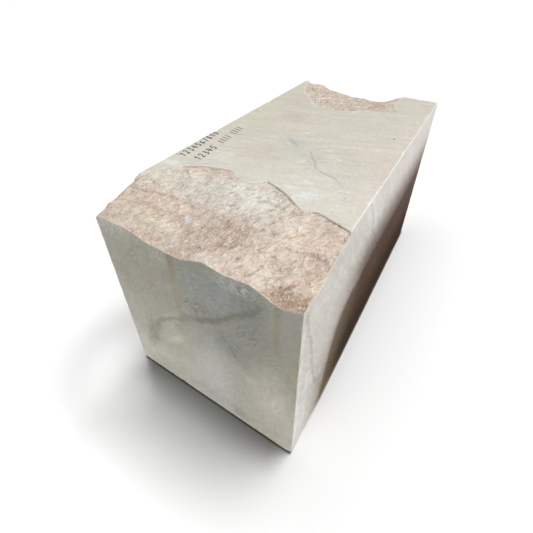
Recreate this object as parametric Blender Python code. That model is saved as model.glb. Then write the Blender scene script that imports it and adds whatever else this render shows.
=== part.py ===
"""A sawn marble block for carving, with two broken patches on its top.

All sizes are in metres. The block stands on its sawn base, centred on the origin: +X is its width, +Y its
length, from the near end to the far end, and +Z is up. The breaks, ledges and chips are laid out from the
block's near left corner, where its base, near end and left side meet.
"""

import math
import random
from dataclasses import dataclass

import bmesh
import bpy
import numpy as np
from mathutils import Euler, Vector, noise

INCH = 0.0254

# The sawn block.
WIDTH = 16 * INCH
LENGTH = 32 * INCH
HEIGHT = 18 * INCH
ARRIS = 0.0018  # the worn flat along each sawn edge

# How the breaks are cut.
OVERRUN = 0.012  # how far a cutter runs past the end of the block
CUTTER_TOP = 0.030  # how far it stands above the sawn top
RIM_RUN = 0.0026  # distance over which the stone drops from the rim
RIM_LIP = 0.0004  # the drop at the rim itself
RIM_SLOPE = 0.8  # bend of the little cliff under the rim
JITTER = 0.28  # how far a point of the broken surface strays, as a share of its cell

END_REACH = 0.034  # how far in from the end face the outline along it is felt
END_BLUR = 0.070  # farther in, only its mean over this distance to each side is

# The grain of the breaks, as (size, height): shell-shaped scoops, and ridges with a crest.
SCOOPS = [(0.050, 0.0042), (0.024, 0.0024)]
RIDGES = [(0.062, 0.0052), (0.030, 0.0036), (0.015, 0.0016)]
GRAIN_TURN = math.radians(34)  # the scoops are drawn out along this direction
GRAIN_STRETCH = 1.5
CALM_RIM = 0.014  # the grain grows from nothing over this distance from the rim
CALM_END = 0.030  # and it calms down again this near to the end of the block
LEAST_AT_END = 0.35  # the share of it that is left there
LEDGE_RUN = 0.0030  # distance over which a ledge steps down
LEDGE_REACH = 0.022  # distance at which it has died away on either side
LEDGE_FADE = 0.020  # length over which its ends die away
LEDGE_PULL = 0.0030  # points of the surface this near to a ledge move onto it


@dataclass(frozen=True)
class Break:
    """A broken patch of the sawn top, which runs out of one end of the block."""

    name: str
    seed: int
    end: float  # y of the end face that it runs out of
    base: tuple  # x of the two ends of the line, just past the end face, that the cells start from
    cell: float  # size of the cells that it is meshed with
    rim: list  # its outline on the sawn top, as (x, y)
    end_depth: list  # how far it lies below the sawn top at the end face, as (x, depth)
    rim_drop: list  # the height of the small cliff under the rim, as (x, drop)
    bend: list  # how it falls from rim to end, as (x, power): under 1 drops early, over 1 drops late
    hollows: list  # (x, y, x radius, y radius, depth), and a mound where the depth is negative
    ledges: list  # (step, points): walking along the points, the stone steps down on the right

    @property
    def outward(self):
        """The way out of the block through the end face: -1 along -Y, 1 along +Y."""
        return math.copysign(1.0, self.end - LENGTH / 2)


NEAR = Break(
    name="near_break_cutter",
    seed=17,
    end=0.0,
    base=(-0.030, WIDTH + 0.030),
    cell=0.0070,
    rim=[
        (-0.030, 0.086), (0.000, 0.107), (0.006, 0.118), (0.029, 0.148), (0.046, 0.168), (0.060, 0.179),
        (0.080, 0.191), (0.105, 0.200), (0.145, 0.208), (0.154, 0.199), (0.168, 0.192), (0.196, 0.188),
        (0.211, 0.196), (0.223, 0.210), (0.246, 0.203), (0.272, 0.192), (0.295, 0.177), (0.314, 0.165),
        (0.325, 0.165), (0.342, 0.171), (0.362, 0.166), (0.382, 0.160), (0.407, 0.153), (0.436, 0.146),
    ],
    end_depth=[
        (0.000, 0.038), (0.006, 0.034), (0.035, 0.032), (0.069, 0.031), (0.094, 0.036), (0.127, 0.043),
        (0.165, 0.043), (0.196, 0.040), (0.214, 0.033), (0.228, 0.027), (0.243, 0.023), (0.256, 0.025),
        (0.280, 0.028), (0.304, 0.026), (0.324, 0.023), (0.340, 0.029), (0.356, 0.036), (0.371, 0.039),
        (0.389, 0.035), (0.407, 0.027),
    ],
    rim_drop=[
        (0.000, 0.0006), (0.050, 0.0012), (0.062, 0.0032), (0.140, 0.0030), (0.155, 0.0010), (0.205, 0.0018),
        (0.222, 0.0062), (0.255, 0.0085), (0.300, 0.0068), (0.318, 0.0025), (0.338, 0.0052), (0.407, 0.0062),
    ],
    bend=[(0.000, 0.72), (0.060, 0.90), (0.130, 1.25), (0.210, 1.50), (0.300, 1.25), (0.407, 0.75)],
    hollows=[
        (0.215, 0.052, 0.050, 0.034, 0.0065), (0.120, 0.030, 0.040, 0.024, -0.0030),
        (0.268, 0.030, 0.026, 0.022, -0.0030), (0.345, 0.055, 0.030, 0.022, 0.0026),
        (0.392, 0.070, 0.030, 0.024, 0.0052), (0.300, 0.105, 0.036, 0.022, -0.0030),
        (0.045, 0.064, 0.032, 0.020, 0.0020), (0.095, 0.130, 0.034, 0.022, 0.0020),
        (0.180, 0.150, 0.042, 0.024, -0.0022), (0.258, 0.158, 0.036, 0.020, 0.0030),
        (0.150, 0.068, 0.026, 0.018, -0.0030), (0.022, 0.030, 0.020, 0.018, -0.0015),
    ],
    ledges=[
        (0.0030, [(0.034, 0.198), (0.059, 0.173), (0.082, 0.155), (0.108, 0.136)]),
        (0.0038, [(0.008, 0.088), (0.034, 0.094), (0.055, 0.099), (0.092, 0.106), (0.120, 0.107), (0.160, 0.099)]),
        (0.0032, [(0.196, 0.034), (0.222, 0.026), (0.240, 0.043), (0.271, 0.057), (0.296, 0.054)]),
        (0.0034, [(0.322, 0.074), (0.338, 0.082), (0.356, 0.086), (0.374, 0.091), (0.408, 0.088)]),
        (0.0028, [(0.305, 0.146), (0.292, 0.120), (0.268, 0.104), (0.236, 0.100)]),
        (0.0030, [(0.230, 0.150), (0.256, 0.166), (0.284, 0.158), (0.302, 0.142)]),
        (0.0026, [(0.380, 0.036), (0.392, 0.046), (0.412, 0.072)]),
        (0.0026, [(0.112, 0.172), (0.146, 0.162), (0.170, 0.168), (0.200, 0.158)]),
    ],
)

FAR = Break(
    name="far_break_cutter",
    seed=63,
    end=LENGTH,
    base=(0.050, 0.270),
    cell=0.0092,
    rim=[
        (0.008, LENGTH + OVERRUN), (0.013, 0.797), (0.024, 0.760), (0.041, 0.720), (0.062, 0.687),
        (0.090, 0.655), (0.112, 0.630), (0.134, 0.613), (0.158, 0.617), (0.190, 0.611), (0.220, 0.620),
        (0.240, 0.637), (0.262, 0.653), (0.284, 0.658), (0.308, 0.666), (0.326, 0.677), (0.316, 0.704),
        (0.306, 0.728), (0.304, 0.755), (0.308, 0.790), (0.314, LENGTH + OVERRUN),
    ],
    end_depth=[
        (0.000, 0.004), (0.017, 0.008), (0.046, 0.007), (0.063, 0.008), (0.080, 0.017), (0.113, 0.021),
        (0.149, 0.025), (0.162, 0.028), (0.199, 0.025), (0.236, 0.032), (0.262, 0.028), (0.280, 0.019),
        (0.297, 0.011), (0.312, 0.003), (0.407, 0.002),
    ],
    rim_drop=[(0.000, 0.0015), (0.060, 0.0030), (0.134, 0.0050), (0.220, 0.0030), (0.300, 0.0018)],
    bend=[(0.000, 0.80), (0.100, 0.75), (0.230, 0.95), (0.300, 1.10)],
    hollows=[
        (0.110, 0.682, 0.026, 0.022, 0.0055), (0.180, 0.700, 0.036, 0.034, -0.0030),
        (0.250, 0.740, 0.040, 0.034, 0.0040), (0.150, 0.775, 0.040, 0.026, 0.0030),
        (0.052, 0.770, 0.024, 0.030, -0.0015), (0.215, 0.660, 0.030, 0.020, 0.0020),
    ],
    ledges=[
        (0.0034, [(0.262, 0.690), (0.228, 0.684), (0.196, 0.668), (0.160, 0.656), (0.126, 0.664)]),
        (0.0040, [(0.296, 0.748), (0.250, 0.722), (0.206, 0.730), (0.168, 0.742), (0.128, 0.730), (0.090, 0.742)]),
        (0.0030, [(0.118, 0.800), (0.094, 0.778), (0.078, 0.750), (0.076, 0.716)]),
    ],
)

# Bruises on the sawn edges, as (x, y, z, radius). Each of the first three is a share of the block's side.
CHIPS = [
    (1.0, 0.0, 0.0, 0.0080), (1.0, 0.0, 0.36, 0.0042), (1.0, 0.0, 0.71, 0.0050),
    (1.0, 0.30, 1.0, 0.0062), (1.0, 0.345, 1.0, 0.0046), (1.0, 0.56, 1.0, 0.0050), (1.0, 0.83, 1.0, 0.0058),
    (0.0, 0.42, 1.0, 0.0046), (0.0, 0.71, 1.0, 0.0058), (0.88, 1.0, 1.0, 0.0056),
    (0.0, 0.0, 0.52, 0.0044), (0.31, 0.0, 0.0, 0.0052), (0.0, 0.55, 0.0, 0.0062), (0.0, 1.0, 0.33, 0.0066),
    (1.0, 1.0, 0.0, 0.0085), (0.45, 1.0, 0.0, 0.0060), (1.0, 1.0, 0.62, 0.0050),
]
CHIP_LENGTH = 1.9  # how far a bruise is drawn out along its edge, as a share of its radius
CHIP_OUT = 0.55  # how far its centre lies outside the edge, likewise


def smooth_curve(points, per_span=6):
    """Points along a smooth curve through the given ones (Catmull-Rom)."""
    pts = np.array(points, float)
    padded = np.vstack([2 * pts[0] - pts[1], pts, 2 * pts[-1] - pts[-2]])
    made = []
    for a, b, c, d in zip(padded, padded[1:], padded[2:], padded[3:]):
        for t in np.arange(per_span) / per_span:
            square, cube = (2 * a - 5 * b + 4 * c - d) * t**2, (3 * b - a - 3 * c + d) * t**3
            made.append(0.5 * (2 * b + (c - a) * t + square + cube))
    return np.array([*made, pts[-1]])


def evenly_spaced(line, count):
    """The given number of points, evenly spaced along a line."""
    passed = np.concatenate([[0], np.cumsum(np.hypot(*np.diff(line, axis=0).T))])
    places = np.linspace(0, passed[-1], count)
    return np.stack([np.interp(places, passed, line[:, k]) for k in range(2)], axis=1)


def along(x, table):
    """The value at x of a table of (x, value) pairs."""
    places, values = np.array(table).T
    return np.interp(x, places, values)


def end_fall(x, to_end, table):
    """How far the surface has fallen by the end: as stated right at the end face, and as its mean farther in."""
    mean = np.mean([along(x + off, table) for off in np.linspace(-END_BLUR, END_BLUR, 9)], axis=0)
    return mean + (along(x, table) - mean) * np.exp(-to_end / END_REACH)


def eased(v):
    """0 to 1 with soft ends."""
    t = np.clip(v, 0, 1)
    return t * t * (3 - 2 * t)


def nearest_on(x, y, line):
    """For each point: the nearest point of a line, the side it lies on (-1 is right), and how far along."""
    starts, runs = line[:-1], np.diff(line, axis=0)
    lengths = np.hypot(*runs.T)
    before = np.concatenate([[0], np.cumsum(lengths)[:-1]])
    best = np.full(x.shape, np.inf)
    near_x, near_y, side, place = (np.zeros(x.shape) for _ in range(4))
    for (sx, sy), (rx, ry), length, passed in zip(starts, runs, lengths, before):
        t = np.clip(((x - sx) * rx + (y - sy) * ry) / length**2, 0, 1)
        px, py = sx + t * rx, sy + t * ry
        gap = np.hypot(x - px, y - py)
        closer = gap < best
        best = np.where(closer, gap, best)
        near_x, near_y = np.where(closer, px, near_x), np.where(closer, py, near_y)
        side = np.where(closer, np.sign(rx * (y - sy) - ry * (x - sx)), side)
        place = np.where(closer, passed + t * length, place)
    return near_x, near_y, side, place


def ledge_depth(x, y, step, points):
    """The extra depth around one ledge: raised on its left, lowered on its right, nothing far from it."""
    line = smooth_curve(points)
    near_x, near_y, side, place = nearest_on(x, y, line)
    gap = np.hypot(x - near_x, y - near_y)
    length = np.hypot(*np.diff(line, axis=0).T).sum()
    ends = eased(place / LEDGE_FADE) * eased((length - place) / LEDGE_FADE)
    return -side * 0.5 * step * np.tanh(gap / LEDGE_RUN) * np.exp(-((gap / LEDGE_REACH) ** 2)) * ends


def grain(x, y, seed):
    """The height of the broken stone's scoops and ridges about its mean surface."""
    cos, sin = math.cos(GRAIN_TURN), math.sin(GRAIN_TURN)
    total = np.zeros(x.shape)
    for index in np.ndindex(x.shape):
        px, py = x[index], y[index]
        drawn = Vector(((px * cos + py * sin) / GRAIN_STRETCH, py * cos - px * sin, seed))
        for size, height in SCOOPS:
            total[index] += height * (noise.voronoi(drawn / size)[0][0] - 0.5)
        for size, height in RIDGES:
            total[index] += height * (0.2 - abs(noise.noise((drawn + Vector((0, 0, size))) / size)))
    return total


def break_depth(x, y, spot):
    """How far the broken surface lies below the sawn top at each point inside the rim."""
    near_x, near_y, _, _ = nearest_on(x, y, smooth_curve(spot.rim))
    within = np.hypot(x - near_x, y - near_y)
    to_end = np.clip((spot.end - y) * spot.outward, 0, None)
    share = within / (within + to_end + 1e-9)
    drop = along(x, spot.rim_drop)
    depth = drop * np.clip(within / RIM_RUN, 0, 1) ** RIM_SLOPE
    depth += (end_fall(x, to_end, spot.end_depth) - drop) * share ** along(x, spot.bend)
    at_end = LEAST_AT_END + (1 - LEAST_AT_END) * eased(to_end / CALM_END)
    calm = eased(within / CALM_RIM) * at_end
    for hx, hy, rx, ry, extra in spot.hollows:
        depth += extra * np.exp(-(((x - hx) / rx) ** 2) - ((y - hy) / ry) ** 2) * calm
    for step, points in spot.ledges:
        depth += ledge_depth(x, y, step, points) * calm
    depth -= grain(x, y, spot.seed) * calm
    return np.maximum(depth, RIM_LIP)


def break_points(spot):
    """The plan of a break's cells, in columns that run from the line past the end face to the rim."""
    rim = smooth_curve(spot.rim)
    columns = round(np.hypot(*np.diff(rim, axis=0).T).sum() / spot.cell)
    outer = evenly_spaced(rim, columns + 1)
    past_end = spot.end + spot.outward * OVERRUN
    inner = np.stack([np.linspace(*spot.base, columns + 1), np.full(columns + 1, past_end)], axis=1)
    reach = np.hypot(*(outer - inner).T)
    rows = round(0.9 * reach.max() / spot.cell)
    lip = 1 - RIM_RUN / reach
    shares = np.vstack([np.linspace(0, 1, rows)[:, None] * lip, np.ones(columns + 1)])
    x, y = (inner[:, k] + shares * (outer[:, k] - inner[:, k]) for k in range(2))
    across = np.hypot(np.diff(x, axis=1), np.diff(y, axis=1))
    down = np.hypot(np.diff(x, axis=0), np.diff(y, axis=0))
    chance = random.Random(spot.seed)
    for i in range(1, rows - 1):
        for j in range(1, columns):
            stray = JITTER * min(across[i, j - 1 : j + 1].min(), down[i - 1 : i + 1, j].min())
            x[i, j] += chance.uniform(-stray, stray)
            y[i, j] += chance.uniform(-stray, stray)
    for _, points in spot.ledges:
        near_x, near_y, _, _ = nearest_on(x, y, smooth_curve(points))
        gap = np.hypot(x - near_x, y - near_y)
        pull = np.where(gap < LEDGE_PULL, 0.75, 0.0)
        pull[[0, -2, -1], :] = 0
        pull[:, [0, -1]] = 0
        x, y = x + pull * (near_x - x), y + pull * (near_y - y)
    return x, y


def remove_everything():
    for obj in list(bpy.data.objects):
        bpy.data.objects.remove(obj)


def new_object(name, bm):
    """An object from a bmesh that is laid out from the block's near left corner."""
    mesh = bpy.data.meshes.new(name)
    bm.to_mesh(mesh)
    bm.free()
    obj = bpy.data.objects.new(name, mesh)
    bpy.context.scene.collection.objects.link(obj)
    obj.location = (-WIDTH / 2, -LENGTH / 2, 0)
    return obj


def new_cutter(name, bm):
    """A closed body to be taken away from the block."""
    bmesh.ops.recalc_face_normals(bm, faces=bm.faces)
    obj = new_object(name, bm)
    obj.hide_render = True
    obj.display_type = "WIRE"
    return obj


def break_cutter(spot):
    """The space that a break has lost: its rough floor, with walls up from there to a lid above the top."""
    x, y = break_points(spot)
    z = HEIGHT - break_depth(x, y, spot)
    bm = bmesh.new()
    floor = [[bm.verts.new(p) for p in zip(*row)] for row in zip(x, y, z)]
    for near_row, next_row in zip(floor, floor[1:]):
        for a, b, c, d in zip(near_row, near_row[1:], next_row[1:], next_row):
            # The fold of each cell runs along the shorter drop, so that crests stay crisp.
            if abs(a.co.z - c.co.z) < abs(b.co.z - d.co.z):
                bm.faces.new((a, b, c))
                bm.faces.new((a, c, d))
            else:
                bm.faces.new((a, b, d))
                bm.faces.new((b, c, d))
    rim = [e for e in bm.edges if e.is_boundary]
    made = bmesh.ops.extrude_edge_only(bm, edges=rim)["geom"]
    for vert in (v for v in made if isinstance(v, bmesh.types.BMVert)):
        vert.co.z = HEIGHT + CUTTER_TOP
    bmesh.ops.contextual_create(bm, geom=[e for e in bm.edges if e.is_boundary])
    return new_cutter(spot.name, bm)


def chip_cutter():
    """A small angular lump for each bruise on the edges."""
    bm = bmesh.new()
    for number, (*shares, radius) in enumerate(CHIPS):
        centre = Vector([share * side for share, side in zip(shares, (WIDTH, LENGTH, HEIGHT))])
        on_edge = [share in (0.0, 1.0) for share in shares]
        outward = Vector([2 * share - 1 if edge else 0 for share, edge in zip(shares, on_edge)]).normalized()
        drawn = Vector([1.0 if edge else CHIP_LENGTH for edge in on_edge])
        turn = Euler((1.1 * number, 2.3 * number, 0.7 * number)).to_matrix()
        for vert in bmesh.ops.create_icosphere(bm, subdivisions=2, radius=radius)["verts"]:
            turned = turn @ vert.co
            lumpy = 1 + 0.25 * noise.noise(turned / radius + Vector((number, 0, 0)))
            vert.co = centre + outward * radius * CHIP_OUT + turned * drawn * lumpy
    return new_cutter("chip_cutter", bm)


def marble():
    """Cream marble, as a plain material."""
    material = bpy.data.materials.new("marble")
    material.use_nodes = True
    shader = material.node_tree.nodes["Principled BSDF"]
    shader.inputs["Base Color"].default_value = (0.60, 0.56, 0.49, 1)
    shader.inputs["Roughness"].default_value = 0.55
    shader.inputs["Metallic"].default_value = 0.0
    return material


def sawn_block():
    """The six sawn faces, with a worn flat along each edge."""
    bm = bmesh.new()
    bmesh.ops.create_cube(bm, size=1.0)
    bmesh.ops.scale(bm, vec=(WIDTH, LENGTH, HEIGHT), verts=bm.verts)
    bmesh.ops.translate(bm, vec=(WIDTH / 2, LENGTH / 2, HEIGHT / 2), verts=bm.verts)
    bmesh.ops.bevel(bm, geom=bm.edges[:], offset=ARRIS, segments=1, affect="EDGES")
    block = new_object("marble_block", bm)
    block.data.materials.append(marble())
    return block


def cut_away(block, cutter):
    modifier = block.modifiers.new(cutter.name, "BOOLEAN")
    modifier.operation = "DIFFERENCE"
    modifier.object = cutter


def build():
    remove_everything()
    block = sawn_block()
    for cutter in (break_cutter(NEAR), break_cutter(FAR), chip_cutter()):
        cut_away(block, cutter)


build()
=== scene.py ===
"""The looks of a sawn marble block for carving: worn edges, two breaks, stained stone and a studio with painted
floor shadow.

Lengths are in metres in the frame's axes unless a name or a comment says mm. The stone itself is laid out
from the block's near left corner, where its base, near end and left side meet.
"""

from __future__ import annotations

import logging
import math
from dataclasses import dataclass, field
from enum import Enum
from typing import Callable, Iterable, Sequence

import bmesh
import bpy
import numpy as np
from mathutils import Euler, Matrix, Vector, geometry, noise


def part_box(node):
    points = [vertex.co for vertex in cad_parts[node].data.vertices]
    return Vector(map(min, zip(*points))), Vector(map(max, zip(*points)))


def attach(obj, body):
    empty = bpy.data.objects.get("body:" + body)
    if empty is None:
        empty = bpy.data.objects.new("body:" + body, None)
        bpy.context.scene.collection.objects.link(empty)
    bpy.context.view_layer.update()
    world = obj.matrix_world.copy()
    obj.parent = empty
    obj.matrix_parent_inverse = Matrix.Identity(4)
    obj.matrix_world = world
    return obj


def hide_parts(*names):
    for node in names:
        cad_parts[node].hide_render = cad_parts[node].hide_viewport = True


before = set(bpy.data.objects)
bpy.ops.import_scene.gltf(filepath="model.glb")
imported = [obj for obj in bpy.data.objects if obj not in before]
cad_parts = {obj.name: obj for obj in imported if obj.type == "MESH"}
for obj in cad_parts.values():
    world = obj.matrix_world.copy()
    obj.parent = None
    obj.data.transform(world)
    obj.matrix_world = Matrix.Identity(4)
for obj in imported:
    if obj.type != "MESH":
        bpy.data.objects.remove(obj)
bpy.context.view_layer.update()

Array = np.ndarray
Points2 = Sequence[tuple[float, float]]
Colour = tuple[float, float, float]
Socket = bpy.types.NodeSocket
Value = Socket | float | tuple[float, ...]

log = logging.getLogger("marble_block")

NODE = "marble_block"
MM = 0.001
TINY = 1e-9  # keeps a division from failing


# ---- Curves and noise ----


def smooth_curve(points: Points2, per_span: int = 6) -> Array:
    """Points along a smooth curve through the given ones (Catmull-Rom).

    Args:
        points: the points to pass through.
        per_span: how many pieces each stretch between two of them is cut into.

    Returns:
        One row for each point of the curve.
    """
    pts = np.array(points, float)
    padded = np.vstack([2 * pts[0] - pts[1], pts, 2 * pts[-1] - pts[-2]])
    made = []
    for a, b, c, d in zip(padded, padded[1:], padded[2:], padded[3:]):
        for t in np.arange(per_span) / per_span:
            square, cube = (2 * a - 5 * b + 4 * c - d) * t**2, (3 * b - a - 3 * c + d) * t**3
            made.append(0.5 * (2 * b + (c - a) * t + square + cube))
    return np.array([*made, pts[-1]])


def line_length(line: Array) -> float:
    """The length of a line of points."""
    return float(np.linalg.norm(np.diff(line, axis=0), axis=1).sum())


def evenly_spaced(line: Array, count: int) -> Array:
    """Points spaced evenly along a line of points.

    Args:
        line: the line's points.
        count: how many points to make, with the two ends.

    Returns:
        One row for each new point.
    """
    passed = np.concatenate([[0], np.cumsum(np.linalg.norm(np.diff(line, axis=0), axis=1))])
    places = np.linspace(0, passed[-1], count)
    return np.stack([np.interp(places, passed, line[:, k]) for k in range(line.shape[1])], axis=1)


def cut_at(line: Array, axis: int, value: float) -> Array:
    """The stretch of a line that lies beyond a value on one axis, with new ends exactly on it.

    Args:
        line: the points of the line, whose two ends lie on the far side of the value.
        axis: 0 for x or 1 for y.
        value: where the line is cut.

    Returns:
        The points between the two cuts, or up to an end that isn't past the value.
    """
    keep = line[:, axis] >= value if line[len(line) // 2, axis] >= value else line[:, axis] <= value
    inner = np.flatnonzero(keep)
    first, last = inner[0], inner[-1]
    kept = [line[first : last + 1]]
    for inside, outside in ((first, first - 1), (last, last + 1)):
        if 0 <= outside < len(line):
            share = (value - line[inside, axis]) / (line[outside, axis] - line[inside, axis])
            end = line[inside] + share * (line[outside] - line[inside])
            end[axis] = value
            kept.insert(0 if outside < inside else len(kept), end[None])
    return np.vstack(kept)


def along(x: Array, table: Points2) -> Array:
    """The value at x of a table of (x, value) pairs."""
    places, values = np.array(table).T
    return np.interp(x, places, values)


def eased(v: Array | float) -> Array:
    """0 to 1 with soft ends."""
    t = np.clip(v, 0, 1)
    return t * t * (3 - 2 * t)


@dataclass
class Nearest:
    """For each of many points, where a line passes nearest to it."""

    x: Array
    y: Array
    gap: Array
    side: Array  # 1 where the point lies to the left of the line, -1 to the right
    place: Array  # how far along the line


def nearest_on(x: Array, y: Array, line: Array) -> Nearest:
    """Finds where a line of points passes nearest to each of many places.

    Args:
        x: the places' x.
        y: the places' y.
        line: the line's points.

    Returns:
        What was found, in arrays of the shape of x.
    """
    starts, runs = line[:-1], np.diff(line, axis=0)
    lengths = np.maximum(np.hypot(*runs.T), TINY)
    before = np.concatenate([[0], np.cumsum(lengths)[:-1]])
    found = Nearest(*(np.zeros(x.shape) for _ in range(5)))
    found.gap = np.full(x.shape, np.inf)
    for (sx, sy), (rx, ry), length, passed in zip(starts, runs, lengths, before):
        t = np.clip(((x - sx) * rx + (y - sy) * ry) / length**2, 0, 1)
        px, py = sx + t * rx, sy + t * ry
        gap = np.hypot(x - px, y - py)
        closer = gap < found.gap
        found.gap = np.where(closer, gap, found.gap)
        found.x, found.y = np.where(closer, px, found.x), np.where(closer, py, found.y)
        found.side = np.where(closer, np.sign(rx * (y - sy) - ry * (x - sx)), found.side)
        found.place = np.where(closer, passed + t * length, found.place)
    return found


def noise_at(places: Array, size: float, seed: float = 0.0) -> Array:
    """Smooth noise from -1 to 1 at each of many places (rows of x, y, z), with features of the given size."""
    scaled = places / size + seed
    return np.fromiter((noise.noise(p) for p in scaled.tolist()), float, len(scaled))


def cells_at(places: Array, size: float) -> tuple[Array, Array]:
    """Finds the nearest of many scattered cell centres.

    Args:
        places: rows of x, y, z.
        size: the usual size of a cell.

    Returns:
        The distance to the centre at each place, and the way from it, both in cell sizes.
    """
    gaps, centres = np.empty(len(places)), np.empty((len(places), 3))
    scaled = places / size
    for k, p in enumerate(scaled.tolist()):
        distances, nearest = noise.voronoi(p)
        gaps[k] = distances[0]
        centres[k] = nearest[0]
    return gaps, scaled - centres


# ---- The block and its breaks ----


@dataclass(frozen=True)
class BlockSize:
    """The sides of the sawn block, and where its near left corner stands in the frame."""

    width: float
    length: float
    height: float
    corner: Vector

    @classmethod
    def from_frame(cls) -> BlockSize:
        """Reads the sides from the block's solid."""
        low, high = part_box(NODE)
        return cls(*(high - low), corner=Vector(low))

    @property
    def sides(self) -> tuple[float, float, float]:
        """Width, length and height."""
        return self.width, self.length, self.height


@dataclass(frozen=True)
class Grain:
    """The relief of broken stone, as (size, height) of each layer."""

    scoops: Points2 = ((0.05, 0.0046), (0.024, 0.0036))
    ridges: Points2 = ((0.062, 0.0054), (0.03, 0.0052), (0.015, 0.0034))
    plates: Points2 = ((0.0125, 0.0011), (0.006, 0.0008))
    crumbs: Points2 = ((0.0095, 0.0016), (0.0046, 0.0006))
    turn: float = math.radians(64)
    stretch: float = 1.9
    # What is taken off each kind of form, so that its mean height is about nothing.
    scoop_mean: float = 0.5
    ridge_mean: float = 0.2
    crumb_mean: float = 0.25
    # How the plates and crumbs are bent out of line, and how the plates are tilted.
    warp_size: float = 0.012
    warp_reach: float = 0.0035
    warp_seeds: tuple[float, float] = (3.1, 7.7)
    tilt: float = 2.2
    tilt_size: float = 0.37  # in cells, so that each plate has a tilt of its own
    tilt_seeds: tuple[float, float] = (11.3, 29.9)
    crumb_seed: float = 5.5

    def drawn_out(self, x: Array, y: Array, seed: float) -> Array:
        """The places in the grain's own directions, along which its forms are drawn out.

        Args:
            x: places across the block.
            y: places along the block.
            seed: the level of the noise that they are read at.

        Returns:
            Rows of x, y and level.
        """
        cos, sin = math.cos(self.turn), math.sin(self.turn)
        across, up = (x * cos + y * sin).ravel() / self.stretch, (y * cos - x * sin).ravel()
        return np.stack([across, up, np.full(x.size, float(seed))], axis=1)

    def coarse(self, x: Array, y: Array, seed: float) -> Array:
        """The shell-shaped scoops and the crested ridges.

        Args:
            x: places across the block.
            y: places along the block.
            seed: which of many such reliefs to make.

        Returns:
            The height at each place.
        """
        drawn = self.drawn_out(x, y, seed)
        total = np.zeros(x.size)
        for size, height in self.scoops:
            total += height * (cells_at(drawn, size)[0] - self.scoop_mean)
        for size, height in self.ridges:
            total += height * (self.ridge_mean - np.abs(noise_at(drawn + (0, 0, size), size)))
        return total.reshape(x.shape)

    def fine(self, x: Array, y: Array, seed: float) -> Array:
        """The tilted crystal plates, and the crumbs between them.

        Args:
            x: places across the block.
            y: places along the block.
            seed: which of many such reliefs to make.

        Returns:
            The height at each place.
        """
        drawn = self.drawn_out(x, y, seed)
        warp = [noise_at(drawn, self.warp_size, shift) for shift in self.warp_seeds]
        drawn = drawn + self.warp_reach * np.stack([*warp, np.zeros(x.size)], axis=1)
        total = np.zeros(x.size)
        for size, height in self.plates:
            _, off = cells_at(drawn, size)
            centres = drawn / size - off
            tilt = np.stack([noise_at(centres, self.tilt_size, shift) for shift in self.tilt_seeds], axis=1)
            total += self.tilt * height * (tilt * off[:, :2]).sum(axis=1)
        for size, height in self.crumbs:
            total += height * (self.crumb_mean - np.abs(noise_at(drawn, size, self.crumb_seed)))
        return total.reshape(x.shape)


@dataclass(frozen=True)
class Ledges:
    """How the ledges of a break step down and die away."""

    run: float = 0.0022
    reach: float = 0.022
    fade: float = 0.02

    def depth(self, x: Array, y: Array, step: float, points: Points2) -> Array:
        """The extra depth around one ledge: less on its left, more on its right, none far from it.

        Args:
            x: places across the block.
            y: places along the block.
            step: the ledge's height.
            points: the line that it follows.

        Returns:
            The extra depth at each place.
        """
        line = smooth_curve(points)
        near = nearest_on(x, y, line)
        ends = eased(near.place / self.fade) * eased((line_length(line) - near.place) / self.fade)
        step_down = np.tanh(near.gap / self.run) * np.exp(-((near.gap / self.reach) ** 2))
        return -near.side * 0.5 * step * step_down * ends


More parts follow.
